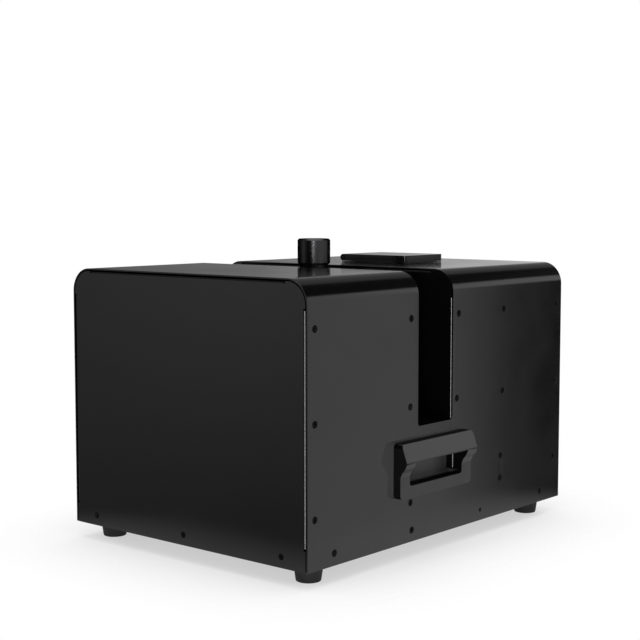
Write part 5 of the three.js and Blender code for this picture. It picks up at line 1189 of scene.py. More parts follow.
@dataclass
class FoldedPanel:
    """A sheet panel across the casing, with its edges folded back."""

    name: str
    node: str
    face: float
    heading: float
    inset: float
    bottom: float
    side_spans: tuple[Point, ...] = ((42.0, 277.0),)
    bottom_fold: float = 0.0
    rim_notch: float = 0.0
    tub_notch: float = 0.0
    half: float = 175.0
    top: float = 308.0
    bend: float = 26.0
    fold: float = 20.0
    fold_bend: float = 2.5
    relief: float = 2.0
    top_half: float = 144.0
    sheet: float = 1.5
    large_hole: float = 20.0
    large_sides: int = 48
    small_sides: int = 20
    fold_steps: int = 5
    openings: list[list[Point]] = field(default_factory=list)
    holes: list[tuple[float, float, float]] = field(default_factory=list)

    def right_side(self) -> list[Point]:
        """Lists the blank's right edge from the bottom up to the bent corner.

        Returns:
            The points.
        """
        side = self.half - self.inset
        start = side - self.fold_bend
        out = start + self.fold_bend * QUARTER + self.fold - self.fold_bend
        points: list[Point] = []
        low = self.side_spans[0][0] - self.relief
        if self.rim_notch:
            points += [(self.rim_notch, self.bottom), (self.rim_notch, low)]
        else:
            points += [(side, self.bottom), (side, low)]
        for index, (span_low, span_high) in enumerate(self.side_spans):
            if index:
                points += [(self.tub_notch, self.side_spans[index - 1][1]),
                           (self.tub_notch, span_low)]
            else:
                points += [(start, low), (start, span_low)]
            points += [(out, span_low), (out, span_high)]
        high = self.side_spans[-1][1]
        points += [(start, high), (start, high + self.relief), (side, high + self.relief)]
        return points

    def outline(self) -> list[Point]:
        """Lists the whole blank's outline.

        Returns:
            The points.
        """
        side, top = self.half - self.inset, self.top - self.inset
        bend = self.bend - self.inset
        straight = self.fold_bend * QUARTER + self.fold - self.fold_bend
        right = self.right_side()
        right += arc((side - bend, top - bend), bend, 0, QUARTER, 10)
        line = top - self.fold_bend
        right += [(self.top_half + self.relief, top), (self.top_half + self.relief, line),
                  (self.top_half, line), (self.top_half, line + straight)]
        if self.bottom_fold:
            line = self.bottom + self.fold_bend
            right = [(self.bottom_fold, line - straight), (self.bottom_fold, line),
                     (self.bottom_fold + self.relief, line),
                     (self.bottom_fold + self.relief, self.bottom), *right]
        return right + [(-u, v) for u, v in reversed(right)]

    def build(self, bench: Bench) -> None:
        """Builds the panel.

        Args:
            bench: where the piece goes.
        """
        side, top = self.half - self.inset, self.top - self.inset
        blank = Blank(self.outline())
        for opening in self.openings:
            blank.cut(opening)
        for u, v, radius in self.holes:
            sides = self.large_sides if radius > self.large_hole else self.small_sides
            blank.drill(u, v, radius, sides)
        low, high = self.side_spans[0][0], self.side_spans[-1][1]
        folds = [
            Fold((hand, 0.0), side - self.fold_bend, self.fold_bend,
                 *sorted((hand * low, hand * high)))
            for hand in (-1.0, 1.0)
        ]
        folds.append(Fold((0.0, 1.0), top - self.fold_bend, self.fold_bend,
                          -self.top_half, self.top_half))
        if self.bottom_fold:
            folds.append(Fold((0.0, -1.0), -self.bottom - self.fold_bend, self.fold_bend,
                              -self.bottom_fold, self.bottom_fold))
        panel = blank.press(self.sheet, folds, steps=self.fold_steps)
        bmesh.ops.transform(
            panel, matrix=panel_place(self.face, self.heading), verts=panel.verts[:]
        )
        bmesh.ops.recalc_face_normals(panel, faces=panel.faces[:])
        bench.add(self.name, panel, PAINT, replaces=[self.node])


@dataclass
class FrontWall:
    """The flat front panel and its three screws."""

    face: float = -237.45
    inset: float = 2.9
    bottom: float = 18.0
    screw_room: float = 0.2
    screw_turn: float = 20.0
    screw_height: float = 29.5
    screws: tuple[float, ...] = (-140.0, 0.0, 140.0)
    screw: Fastener = Fastener(3.4, 0.0, Drive.HEX, sink=1.0)

    def build(self, bench: Bench) -> None:
        """Builds the panel and its screws.

        Args:
            bench: where the pieces go.
        """
        holes = [(x, self.screw_height, self.screw.radius + self.screw_room)
                 for x in self.screws]
        FoldedPanel(
            "front_cover", "front_panel", self.face, 1.0, self.inset, self.bottom, holes=holes
        ).build(bench)
        heads, head = bmesh.new(), self.screw.build()
        for index, x in enumerate(self.screws):
            place = placed(Heading.FRONT, x, self.face, self.screw_height,
                           self.screw_turn * index)
            stamp(heads, head, place)
        head.free()
        bench.add("front_screws", heads, BLACK_SCREW)


@dataclass
class SlotLining:
    """The two walls and the floor of the slot in which the nozzle swings."""

    front: float = -56.5
    rear: float = 7.5
    axis: float = 170.0
    hole: float = 12.75
    floor_top: float = 140.0
    floor_half: float = 173.2
    floor_drop: float = 12.0
    bearing_screws: float = 19.0
    bearing_hole: float = 2.2
    bearing_screw: Fastener = Fastener(2.8, 1.6, Drive.HEX, dome=0.5)
    inset: float = 1.8
    bottom: float = 19.8
    side_spans: tuple[Point, ...] = ((42.0, 79.7), (127.3, 277.0))
    rim_notch: float = 171.4
    tub_notch: float = 160.7
    floor_bend: float = 2.0
    floor_gap: float = 0.3
    floor_corner: float = 1.0
    floor_sheet: float = 1.5

    def build(self, bench: Bench) -> None:
        """Builds both walls and the floor.

        Args:
            bench: where the pieces go.
        """
        corners = [(u * self.bearing_screws, self.axis + v * self.bearing_screws)
                   for u in (-1, 1) for v in (-1, 1)]
        holes = [(0.0, self.axis, self.hole), *((u, v, self.bearing_hole) for u, v in corners)]
        for side, face, heading in (("front", self.front, -1.0), ("rear", self.rear, 1.0)):
            FoldedPanel(
                f"slot_wall_{side}", f"{side}_bulkhead", face, heading, self.inset,
                self.bottom, self.side_spans, rim_notch=self.rim_notch,
                tub_notch=self.tub_notch, holes=list(holes),
            ).build(bench)
            head = self.bearing_screw.build()
            heads = bmesh.new()
            toward = Heading.REAR if side == "front" else Heading.FRONT
            for u, v in corners:
                stamp(heads, head, placed(toward, u, face, v))
            head.free()
            bench.add(f"bearing_screws_{side}", heads, SCREW)
        self.floor(bench)

    def floor(self, bench: Bench) -> None:
        """Builds the floor with its two edges folded down.

        Args:
            bench: where the piece goes.
        """
        bend = self.floor_bend
        middle = (self.front + self.rear) / 2
        half = (self.rear - self.front) / 2 - self.floor_gap
        line = half - bend
        reach = line + bend * QUARTER + self.floor_drop - bend
        outline = rounded_rectangle(
            -self.floor_half, self.floor_half, -reach, reach, self.floor_corner, 3
        )
        folds = [Fold((0.0, hand), line, bend) for hand in (-1.0, 1.0)]
        pan = Blank(outline).press(self.floor_sheet, folds, steps=4)
        place = Matrix.Translation(Vector((0, middle, self.floor_top)) * MM)
        bmesh.ops.transform(pan, matrix=place, verts=pan.verts[:])
        bench.add("slot_floor_pan", pan, PAINT, replaces=["slot_floor"])


@dataclass
class Underside:
    """The base tray with its vents, and the four rubber feet under it."""

    half: float = 173.2
    front: float = -235.7
    rear: float = 215.7
    under: float = 18.0
    rim: float = 22.0
    bend: float = 2.0
    corner_gap: float = 0.8
    vent_rows: tuple[float, ...] = (-142.5, 117.5)
    vent_length: float = 70.0
    vent_width: float = 5.0
    vent_pitch: float = 13.0
    vent_count: int = 5
    foot_x: float = 147.5
    foot_y: tuple[float, float] = (-204.5, 204.5)
    sheet: float = 1.5
    foot_gap: float = 0.3
    foot_top: float = 15.7
    foot_bottom: float = 13.2
    foot_bore: float = 5.0
    bore_top: float = 11.0
    foot_shoulder: float = 0.8
    foot_draft: float = 0.25
    sole_edge: float = 1.6
    sole_round: float = 1.4
    sole_slope: float = 0.15
    washer_bore: float = 1.5
    washer_radius: float = 4.7
    washer_thickness: float = 0.8
    washer_z: float = 10.9
    screw_z: float = 10.1
    screw: Fastener = Fastener(3.4, 2.2, Drive.CROSS, dome=0.8)

    def build(self, bench: Bench) -> None:
        """Builds the tray and the feet.

        Args:
            bench: where the pieces go.
        """
        self.tray(bench)
        self.feet(bench)

    def tray(self, bench: Bench) -> None:
        """Builds the tray from one blank with four rims.

        Args:
            bench: where the piece goes.
        """
        turn = self.bend * QUARTER + self.rim - self.bend
        side = self.half - self.bend
        front, rear = self.front + self.bend, self.rear - self.bend
        gap = self.corner_gap
        half = [
            (side - gap, front - turn), (side - gap, front), (side, front), (side, front + gap),
            (side + turn, front + gap), (side + turn, rear - gap), (side, rear - gap),
            (side, rear), (side - gap, rear), (side - gap, rear + turn),
        ]
        blank = Blank(half + [(-u, v) for u, v in reversed(half)])
        for middle in self.vent_rows:
            for i in range(self.vent_count):
                y = middle + (i - (self.vent_count - 1) / 2) * self.vent_pitch
                blank.cut(rounded_rectangle(
                    -self.vent_length / 2, self.vent_length / 2,
                    y - self.vent_width / 2, y + self.vent_width / 2, self.vent_width / 2,
                ))
        folds = [Fold((hand, 0.0), side, self.bend) for hand in (-1.0, 1.0)]
        folds += [Fold((0.0, -1.0), -front, self.bend), Fold((0.0, 1.0), rear, self.bend)]
        tray = blank.press(self.sheet, folds, steps=4)
        place = Matrix.Translation((0, 0, self.under * MM)) @ Matrix.Scale(-1, 4, (0, 0, 1))
        bmesh.ops.transform(tray, matrix=place, verts=tray.verts[:])
        bmesh.ops.recalc_face_normals(tray, faces=tray.faces[:])
        bench.add("bottom_tray", tray, PAINT, replaces=["base_tray"])

    def feet(self, bench: Bench) -> None:
        """Builds the four feet, each with its washer and screw.

        Args:
            bench: where the pieces go.
        """
        top, turn = self.under - self.foot_gap, self.sole_round
        profile = [
            (self.foot_bore, 0.0), (self.foot_bottom - self.sole_edge, 0.0),
            *arc((self.foot_bottom - turn, turn), turn, -QUARTER, self.sole_slope, 5),
            (self.foot_top - self.foot_draft, top - self.foot_shoulder),
            (self.foot_top - self.foot_shoulder, top), (0.0, top),
            (0.0, self.bore_top), (self.foot_bore, self.bore_top),
        ]
        ring = [
            (self.washer_bore, 0), (self.washer_radius, 0),
            (self.washer_radius, self.washer_thickness),
            (self.washer_bore, self.washer_thickness),
        ]
        for end, y in zip(("front", "rear"), self.foot_y):
            for side, x in (("left", -self.foot_x), ("right", self.foot_x)):
                foot = lathe(profile, 40, 0.3)
                bmesh.ops.translate(foot, verts=foot.verts[:], vec=Vector((x, y, 0)) * MM)
                node = f"foot_{end}_{side}"
                bench.add(f"rubber_{node}", foot, RUBBER, replaces=[node])
                screw = bmesh.new()
                washer = lathe(ring, 28, 0.15)
                stamp(screw, washer, placed(Heading.DOWN, x, y, self.washer_z))
                washer.free()
                head = self.screw.build()
                stamp(screw, head, placed(Heading.DOWN, x, y, self.screw_z))
                head.free()
                bench.add(f"{node}_screw", screw, BRIGHT)


@dataclass
class HandGrips:
    """The two moulded grips let into the sides, each with a bright steel strip at its pocket's end
    wall as a painted highlight.
    """

    edge: float = 1.1
    kink: float = 4.0
    lip: float = 190.0
    lip_kink: float = 1.2
    kink_angles: Point = (12.0, 70.0)
    out: float = 182.0
    pocket_floor: float = 82.0
    opening_corner: float = 3.5
    # The next five give the bright steel strip at the pocket's end wall, a painted highlight.
    sheet_x: float = 171.6
    strip_radius: float = 0.75
    strip_low: float = 86.8
    strip_length: float = 30.0
    pocket_rear: float = 13.4
    straight_share: float = 0.98
    floor_tolerance: float = 0.1

    def kinks(
        self, bm: bmesh.types.BMesh, start: float, end: float
    ) -> list[bmesh.types.BMEdge]:
        """Finds the blunt edges along the arms and the hood.

        Args:
            bm: the grip's mesh.
            start: how far out they begin, from the machine's middle.
            end: how far out they end.

        Returns:
            The edges.
        """
        low, high = (math.radians(a) for a in self.kink_angles)
        return [
            e for e in bm.edges
            if len(e.link_faces) == 2 and low < e.calc_face_angle(0.0) < high
            and abs((e.verts[0].co - e.verts[1].co).normalized().y) > self.straight_share
            and all(start * MM < abs(v.co.x) < end * MM for v in e.verts)
        ]

    def corners(self, bm: bmesh.types.BMesh) -> list[bmesh.types.BMEdge]:
        """Finds the two edges in which the pocket's floor meets its ends.

        Args:
            bm: the grip's mesh.

        Returns:
            The edges.
        """
        level, near = self.pocket_floor * MM, self.floor_tolerance * MM
        return [
            e for e in sharp_edges(bm)
            if abs((e.verts[0].co - e.verts[1].co).normalized().x) > self.straight_share
            and all(abs(v.co.z - level) < near for v in e.verts)
        ]

    def build(self, bench: Bench) -> None:
        """Builds both grips and their painted-highlight strips.

        Args:
            bench: where the pieces go.
        """
        for side in ("left", "right"):
            node = f"grip_{side}"
            grip = bench.copy(node, 0.0)
            soften(grip, self.kink, 4, self.kinks(grip, self.out, self.lip))
            soften(grip, self.lip_kink, 3, self.kinks(grip, self.lip, math.inf))
            soften(grip, self.opening_corner, 4, self.corners(grip))
            soften(grip, self.edge, 3)
            bench.add(f"moulded_{node}", grip, GRIP, replaces=[node])
            # Painted highlight: a thin bright steel strip at the pocket's end wall gives the bright
            # line there.
            sheet = lathe([
                (0, 0), (self.strip_radius, 0), (self.strip_radius, self.strip_length),
                (0, self.strip_length),
            ], 16)
            x = self.sheet_x if side == "right" else -self.sheet_x
            place = placed(Heading.UP, x, self.pocket_rear, self.strip_low)
            bmesh.ops.transform(sheet, matrix=place, verts=sheet.verts[:])
            bench.add(f"painted_highlight_strip_{side}", sheet, PAINTED_HIGHLIGHT_STEEL)


@dataclass
class Filler:
    """The filler's frame, lid, hinge and seal, and the hopper under them."""

    hinge_x: float = -33.9
    hinge_z: float = 314.0
    front: float = 69.5
    rear: float = 146.3
    barrel: float = 4.1
    pin: float = 1.4
    knuckle: float = 24.0
    gap: float = 0.35
    rim: float = 0.3

    def barrel_piece(self, start: float, end: float) -> bmesh.types.BMesh:
        """Turns one barrel of the hinge.

        Args:
            start: its front end.
            end: its rear end.

        Returns:
            The barrel's mesh.
        """
        bore = self.pin + self.gap
        ring = lathe(
            [(bore, 0), (self.barrel, 0), (self.barrel, end - start), (bore, end - start)],
            40, self.rim,
        )
        place = placed(Heading.REAR, self.hinge_x, start, self.hinge_z)
        bmesh.ops.transform(ring, matrix=place, verts=ring.verts[:])
        return ring

    def build(self, bench: Bench) -> None:
        """Builds the filler's pieces.

        Args:
            bench: where the pieces go.
        """
        middle, half = (self.front + self.rear) / 2, self.knuckle / 2
        frame = bench.copy("lid_frame", 0.3)
        knuckle = self.barrel_piece(middle - half, middle + half)
        stamp(frame, knuckle, Matrix.Identity(4))
        knuckle.free()
        bench.add("filler_frame", frame, LID, replaces=["lid_frame"])
        lid = bench.copy("filler_lid", 0.25)
        for start, end in ((self.front, middle - half - self.gap),
                           (middle + half + self.gap, self.rear)):
            part = self.barrel_piece(start, end)
            stamp(lid, part, Matrix.Identity(4))
            part.free()
        bench.add("filler_cover", lid, LID, "lid", ["filler_lid"])
        length = self.rear - self.front
        pin = lathe([(0, 0), (self.pin, 0), (self.pin, length), (0, length)], 24, self.rim)
        place = placed(Heading.REAR, self.hinge_x, self.front, self.hinge_z)
        bmesh.ops.transform(pin, matrix=place, verts=pin.verts[:])
        bench.add("hinge_rod", pin, SCREW, replaces=["lid_hinge_pin"])
        bench.add("filler_gasket", bench.copy("lid_seal", 0.4, 3), SILICONE, "lid", ["lid_seal"])
        bench.add("hopper", bench.copy("hopper_funnel", 0.25), ZINC, replaces=["hopper_funnel"])


@dataclass
class Nozzle:
    """The swinging nozzle: head, pipe, cap and heater jacket on two hollow trunnions."""

    y: float = -24.5
    pipe: float = 16.5
    bore: float = 11.0
    cap: float = 19.0
    cap_low: float = 309.7
    cap_high: float = 339.5
    socket: float = 8.0
    pipe_low: float = 210.3
    edge: float = 1.8
    fit_gap: float = 0.3
    bore_edge: float = 1.0
    jacket_low: float = 215.0
    jacket_high: float = 249.0
    clamp_screw: Fastener = Fastener(2.2, 1.8, Drive.HEX, dome=0.3)
    clamp_x: float = 5.0
    clamp_reach: float = 22.5
    clamp_inset: float = 9.0

    def build(self, bench: Bench) -> None:
        """Builds the nozzle's pieces.

        Args:
            bench: where the pieces go.
        """
        self.top(bench)
        self.heater(bench)
        bench.add("nozzle_block", bench.copy("nozzle_head", 0.8, 3), SCREW, "nozzle",
                  ["nozzle_head"])
        for end in ("front", "rear"):
            node = f"{end}_trunnion"
            bench.add(f"{node}_sleeve", bench.copy(node, 0.4), BRIGHT, "nozzle", [node])
            node = f"{end}_bearing"
            bench.add(f"{node}_flange", bench.copy(node, 0.5), SCREW, replaces=[node])

    def upright(self, name: str, profile: list[Point], finish: Finish, node: str,
                bench: Bench, rim: float) -> None:
        """Turns one piece about the nozzle's own axis.

        Args:
            name: the piece's name.
            profile: radius and height points.
            finish: its surface.
            node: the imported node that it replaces.
            bench: where the piece goes.
            rim: width of the rounding on its edges.
        """
        piece = lathe(profile, 64, rim)
        bmesh.ops.translate(piece, verts=piece.verts[:], vec=(0, self.y * MM, 0))
        bench.add(name, piece, finish, "nozzle", [node])

    def top(self, bench: Bench) -> None:
        """Turns the cap and the pipe.

        Args:
            bench: where the pieces go.
        """
        low, high, edge = self.cap_low, self.cap_high, self.edge
        mouth = low + self.socket
        fit = self.pipe + self.fit_gap
        self.upright("nozzle_cap", [
            (fit, low), (self.cap - edge, low), (self.cap, low + edge),
            (self.cap, high - edge), (self.cap - edge, high),
            (self.bore + self.bore_edge, high), (self.bore, high - self.bore_edge),
            (self.bore, mouth), (fit, mouth),
        ], CAP, "nozzle_tip", bench, 0.25)
        self.upright("nozzle_pipe", [
            (self.bore, self.pipe_low), (self.pipe, self.pipe_low),
            (self.pipe, mouth - self.fit_gap), (self.bore, mouth - self.fit_gap),
        ], PIPE, "nozzle_tube", bench, 0.5)

    def heater(self, bench: Bench) -> None:
        """Builds the heater jacket with its clamp screws.

        Args:
            bench: where the pieces go.
        """
        jacket = bench.copy("heater_band", 0.4)
        bench.add("heater_jacket", jacket, BRIGHT, "nozzle", ["heater_band"])
        heads, head = bmesh.new(), self.clamp_screw.build()
        for z in (self.jacket_low + self.clamp_inset, self.jacket_high - self.clamp_inset):
            place = placed(Heading.RIGHT, self.clamp_x, self.y + self.clamp_reach, z)
            stamp(heads, head, place)
        head.free()
        bench.add("jacket_screws", heads, SCREW, "nozzle")


@dataclass
class RearFan:
    """One fan behind the rear panel, with its guard and screws."""

    side: str
    x: float
    z: float = 223.0
    y: float = 190.9
    size: float = 80.0
    depth: float = 25.0
    bore: float = 38.0
    hub: float = 18.0
    tip: float = 36.8
    blades: int = 7
    screw_pitch: float = 71.5
    panel: float = 217.5
    flange: float = 3.6
    flange_corner: float = 4.0
    flange_hole: float = 2.2
    duct_inset: float = 3.7
    duct_wall: float = 1.8
    seat_radius: float = 17.0
    seat_thickness: float = 4.0
    pin: float = 2.5
    pin_length: float = 12.0
    strut_start: float = 16.4
    strut_length: float = 22.0
    strut_width: float = 4.0
    root_depth: float = 1.5
    chord: float = 19.0
    chord_growth: float = 6.0
    pitch: float = 42.0
    pitch_loss: float = 16.0
    camber: float = 1.6
    sweep: float = 0.28
    blade_thickness: float = 1.3
    blade_middle: float = 9.2
    rotor_start: float = 4.3
    rotor_depth: float = 18.0
    rotor_edge: float = 1.6
    rotor_bore: float = 2.9
    rotor_bore_end: float = 9.3
    wire: float = 0.85
    wire_level: float = 1.3
    ring_radii: tuple[float, ...] = (12.7, 25.3, 38.0)
    disc_radius: float = 5.0
    disc_half: float = 0.5
    spoke_start: float = 2.5
    spoke_end: float = 5.1
    eye_radius: float = 2.9
    eye_wire: float = 0.7
    screw_level: float = 0.4
    screw: Fastener = Fastener(2.6, 1.5, Drive.CROSS, dome=0.7)

    def build(self, bench: Bench) -> None:
        """Builds frame, rotor and guard.

        Args:
            bench: where the pieces go.
        """
        self.frame(bench)
        self.rotor(bench)
        self.guard(bench)

    def frame(self, bench: Bench) -> None:
        """Builds the frame: two corner flanges joined by a round duct, and the motor's seat.

        Args:
            bench: where the piece goes.
        """
        whole = bmesh.new()
        half, hole = self.size / 2, self.screw_pitch / 2
        for start in (0.0, self.depth - self.flange):
            blank = Blank(rounded_rectangle(-half, half, -half, half, self.flange_corner))
            blank.drill(0, 0, self.bore, 64)
            for u in (-hole, hole):
                for v in (-hole, hole):
                    blank.drill(u, v, self.flange_hole, 16)
            flange = blank.press(self.flange, rim=0.4)
            stamp(whole, flange, placed(Heading.FRONT, self.x, self.y + start, self.z))
            flange.free()
        low, high, outer = self.duct_inset, self.depth - self.duct_inset, self.bore + self.duct_wall
        duct = lathe([(self.bore, low), (outer, low), (outer, high), (self.bore, high)], 64)
        stamp(whole, duct, placed(Heading.REAR, self.x, self.y, self.z))
        duct.free()
        seat = lathe([
            (0, 0), (self.seat_radius, 0), (self.seat_radius, self.seat_thickness),
            (self.pin, self.seat_thickness), (self.pin, self.pin_length), (0, self.pin_length),
        ], 40, 0.4)
        stamp(whole, seat, placed(Heading.REAR, self.x, self.y, self.z))
        seat.free()
        for i in range(4):
            strut = bmesh.new()
            bmesh.ops.create_cube(strut, size=1.0, matrix=Matrix.Translation((0.5, 0, 0.5)))
            size = Vector((self.strut_length, self.strut_width, self.strut_width))
            shape = Matrix.Diagonal(size * MM).to_4x4()
            bmesh.ops.transform(strut, matrix=shape, verts=strut.verts[:])
            bmesh.ops.translate(strut, verts=strut.verts[:], vec=(self.strut_start * MM, 0, 0))
            soften(strut, 0.6, 3)
            stamp(whole, strut, placed(Heading.REAR, self.x, self.y, self.z, 90.0 * i))
            strut.free()
        bench.add(f"fan_{self.side}_housing", whole, PLASTIC,
                  replaces=[f"fan_frame_{self.side}"])

    def blade(self) -> bmesh.types.BMesh:
        """Bends a flat grid into one thin swept blade.

        Returns:
            The blade's mesh, standing out along +X.
        """
        bm = bmesh.new()
        bmesh.ops.create_grid(bm, x_segments=6, y_segments=5, size=0.5)
        root, out = self.hub - self.root_depth, self.tip
        for vert in bm.verts:
            share, across = vert.co.x + 0.5, vert.co.y
            radius = root + (out - root) * share
            chord = self.chord + self.chord_growth * share
            pitch = math.radians(self.pitch - self.pitch_loss * share)
            camber = self.camber * (1 - (across * 2) ** 2)
            turn = across * chord * math.cos(pitch) / radius + self.sweep * share
            rise = across * chord * math.sin(pitch) + camber
            vert.co = Vector((radius * math.cos(turn), radius * math.sin(turn), rise)) * MM
        bm.normal_update()
        bmesh.ops.solidify(bm, geom=bm.faces[:], thickness=self.blade_thickness * MM)
        bmesh.ops.recalc_face_normals(bm, faces=bm.faces[:])
        soften(bm, 0.35)
        return bm

    def rotor(self, bench: Bench) -> None:
        """Builds the hub and its blades.

        Args:
            bench: where the piece goes.
        """
        depth, edge, bore = self.rotor_depth, self.rotor_edge, self.rotor_bore
        whole = lathe([
            (bore, 0.0), (self.hub, 0.0), (self.hub, depth - edge), (self.hub - edge, depth),
            (0.0, depth), (0.0, self.rotor_bore_end), (bore, self.rotor_bore_end),
        ], 56, 0.5)
        blade = self.blade()
        for i in range(self.blades):
            turn = Matrix.Rotation(FULL_TURN * i / self.blades, 4, "Z")
            stamp(whole, blade, turn @ Matrix.Translation((0, 0, self.blade_middle * MM)))
        blade.free()
        place = placed(Heading.REAR, self.x, self.y + self.rotor_start, self.z)
        bmesh.ops.transform(whole, matrix=place, verts=whole.verts[:])
        bench.add(f"fan_{self.side}_rotor", whole, PLASTIC, f"{self.side}_fan",
                  [f"fan_rotor_{self.side}"])

    def wire_ring(self, radius: float, wire: float) -> bmesh.types.BMesh:
        """Bends one wire of the guard into a ring.

        Args:
            radius: the ring's radius.
            wire: the wire's own radius.

        Returns:
            The ring's mesh.
        """
        section = arc((radius, 0), wire, 0, FULL_TURN, 10)[:-1]
        return lathe(section, 56)

    def guard(self, bench: Bench) -> None:
        """Builds the wire guard and its four screws.

        Args:
            bench: where the pieces go.
        """
        whole = bmesh.new()
        wire, level = self.wire, self.wire_level
        rings = [self.wire_ring(radius, wire) for radius in self.ring_radii]
        for ring in rings:
            stamp(whole, ring, placed(Heading.REAR, self.x, self.panel + level, self.z))
            ring.free()
        edge, half = self.disc_radius, self.disc_half
        disc = lathe([(0, -half), (edge, -half), (edge, half), (0, half)], 28, 0.3)
        stamp(whole, disc, placed(Heading.REAR, self.x, self.panel + level, self.z))
        disc.free()
        reach = self.screw_pitch / math.sqrt(2)
        spoke = bmesh.new()
        bmesh.ops.create_cone(
            spoke, cap_ends=True, segments=10, radius1=wire * MM, radius2=wire * MM,
            depth=(reach - self.spoke_start - self.spoke_end) * MM,
            matrix=Matrix.Translation(((reach + self.spoke_start - self.spoke_end) / 2 * MM, 0, 0))
            @ Matrix.Rotation(QUARTER, 4, "Y"),
        )
        eye = self.wire_ring(self.eye_radius, self.eye_wire)
        heads, head = bmesh.new(), self.screw.build()
        for i in range(4):
            angle = math.pi / 4 + QUARTER * i
            place = placed(Heading.REAR, self.x, self.panel + level, self.z, math.degrees(angle))
            stamp(whole, spoke, place)
            u, v = reach * math.cos(angle), reach * math.sin(angle)
            level_place = placed(Heading.REAR, self.x, self.panel, self.z)
            stamp(whole, eye, level_place @ Matrix.Translation(Vector((u, v, level)) * MM))
            seat = Matrix.Translation(Vector((u, v, self.screw_level)) * MM)
            stamp(heads, head, level_place @ seat)
        for part in (spoke, eye, head):
            part.free()
        bench.add(f"fan_{self.side}_guard", whole, BRIGHT, replaces=[f"fan_guard_{self.side}"])
        bench.add(f"fan_{self.side}_screws", heads, SCREW)


@dataclass
class RearWall:
    """The recessed rear panel with the openings for fans, display and connectors."""

    face: float = 216.0
    row: float = 70.0
    fan_x: float = 112.0
    fan_z: float = 223.0
    fan_bore: float = 38.0
    inset: float = 1.8
    bottom: float = 18.3
    bottom_fold: float = 150.0
    round_holes: tuple[Point, ...] = ((70.0, 12.0), (112.0, 12.0), (-74.0, 6.5))
    button_z: float = 225.0
    button_hole: float = 4.85
    buttons: tuple[float, ...] = (-33.0, -11.0, 11.0, 33.0)
    windows: tuple[tuple[float, float, float, float], ...] = (
        (-36.5, 36.5, 256.0, 12.5), (-132.5, -103.5, 70.0, 10.5), (-51.5, -36.5, 70.0, 14.0),
    )
    window_corner: float = 0.8

    def build(self, bench: Bench) -> None:
        """Builds the panel.

        Args:
            bench: where the piece goes.
        """
        holes = [(x, self.row, radius) for x, radius in self.round_holes]
        holes += [(x, self.button_z, self.button_hole) for x in self.buttons]
        for x in (-self.fan_x, self.fan_x):
            holes.append((x, self.fan_z, self.fan_bore))
        openings = [
            rounded_rectangle(left, right, z - half, z + half, self.window_corner, 3)
            for left, right, z, half in self.windows
        ]
        FoldedPanel(
            "rear_cover", "rear_panel", self.face, 1.0, self.inset, self.bottom,
            bottom_fold=self.bottom_fold, openings=openings, holes=holes,
        ).build(bench)


@dataclass(frozen=True)
class Carried:
    """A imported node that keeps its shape, with its edges rounded."""

    name: str
    node: str
    finish: Finish
    edge: float = 0.3
    body: str = "case"

    def build(self, bench: Bench) -> None:
        """Builds the rounded copy."""
        bench.add(self.name, bench.copy(self.node, self.edge), self.finish, self.body,
                  [self.node])


@dataclass
class CarriedGroup:
    """A sub-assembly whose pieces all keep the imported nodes' shapes."""

    pieces: tuple[Carried, ...] = ()

    def build(self, bench: Bench) -> None:
        """Builds the group's pieces."""
        for piece in self.pieces:
            piece.build(bench)


@dataclass
class SwingDrive(CarriedGroup):
    """The motor, belt and pulleys that swing the nozzle."""

    pieces: tuple[Carried, ...] = (
        Carried("large_pulley", "driven_pulley", ALUMINIUM, 0.3, "nozzle"),
        Carried("small_pulley", "motor_pulley", ALUMINIUM, 0.2, "pulley"),
        Carried("swing_belt", "drive_belt", BELT, 0.3),
        Carried("swing_motor_case", "swing_motor", SCREW, 0.6),
        Carried("swing_motor_bracket", "motor_bracket", ZINC, 0.4),
    )


@dataclass
class GranuleFeed(CarriedGroup):
    """The plate, tube, auger and motor that feed the granules."""

    pieces: tuple[Carried, ...] = (
        Carried("bay_plate", "cross_frame", ZINC, 0.3),
        Carried("feed_barrel", "feed_tube", BRASS, 0.3),
        Carried("feed_screw", "feed_auger", BRIGHT, 0.2, "auger"),
        Carried("feed_gear_motor", "feed_motor", BRIGHT, 0.6),
    )


@dataclass
class Blower(CarriedGroup):
    """The blower that drives the sparks out, and its duct."""

    pieces: tuple[Carried, ...] = (
        Carried("blower_case", "blower_housing", PLASTIC, 0.5),
        Carried("blower_wheel", "blower_impeller", PLASTIC, 0.2, "impeller"),
        Carried("blower_drive", "blower_motor", SCREW, 0.6),
        Carried("blower_duct", "air_duct", ALUMINIUM, 0.3),
    )


@dataclass
class Electrics(CarriedGroup):
    """The power supply and the two circuit boards."""

    pieces: tuple[Carried, ...] = (
        Carried("supply_box", "power_supply", SUPPLY, 0.5),
        Carried("main_board", "control_board", BOARD, 0.2),
        Carried("front_board", "display_board", BOARD, 0.2),
    )


@dataclass
class Controls:
    """The display's window and the four menu buttons."""

    panel: float = 217.5
    button_z: float = 225.0
    places: tuple[float, ...] = (-33.0, -11.0, 11.0, 33.0)
    radius: float = 4.5
    back: float = -7.3
    flange: float = 6.0
    flange_span: Point = (-3.3, -1.9)
    shoulder: float = 2.2
    crown_round: float = 0.8
    crown: float = 2.7

    def build(self, bench: Bench) -> None:
        """Builds the window and the buttons.

        Args:
            bench: where the pieces go.
        """
        window = bench.copy("display_window", 0.5, 3)
        bench.add("display_pane", window, GLASS, replaces=["display_window"])
        (low, high), turn = self.flange_span, self.crown_round
        for index, x in enumerate(self.places, start=1):
            profile = [
                (0.0, self.back), (self.radius, self.back), (self.radius, low),
                (self.flange, low), (self.flange, high), (self.radius, high),
                (self.radius, self.shoulder),
                *arc((self.radius - turn, self.shoulder), turn, 0, QUARTER, 4)[1:],
                (0.0, self.crown),
            ]
            button = lathe(profile, 32, 0.15)
            place = placed(Heading.REAR, x, self.panel, self.button_z)
            bmesh.ops.transform(button, matrix=place, verts=button.verts[:])
            node = f"menu_button_{index}"
            bench.add(f"{node}_cap", button, PLASTIC, f"button_{index}", [node])


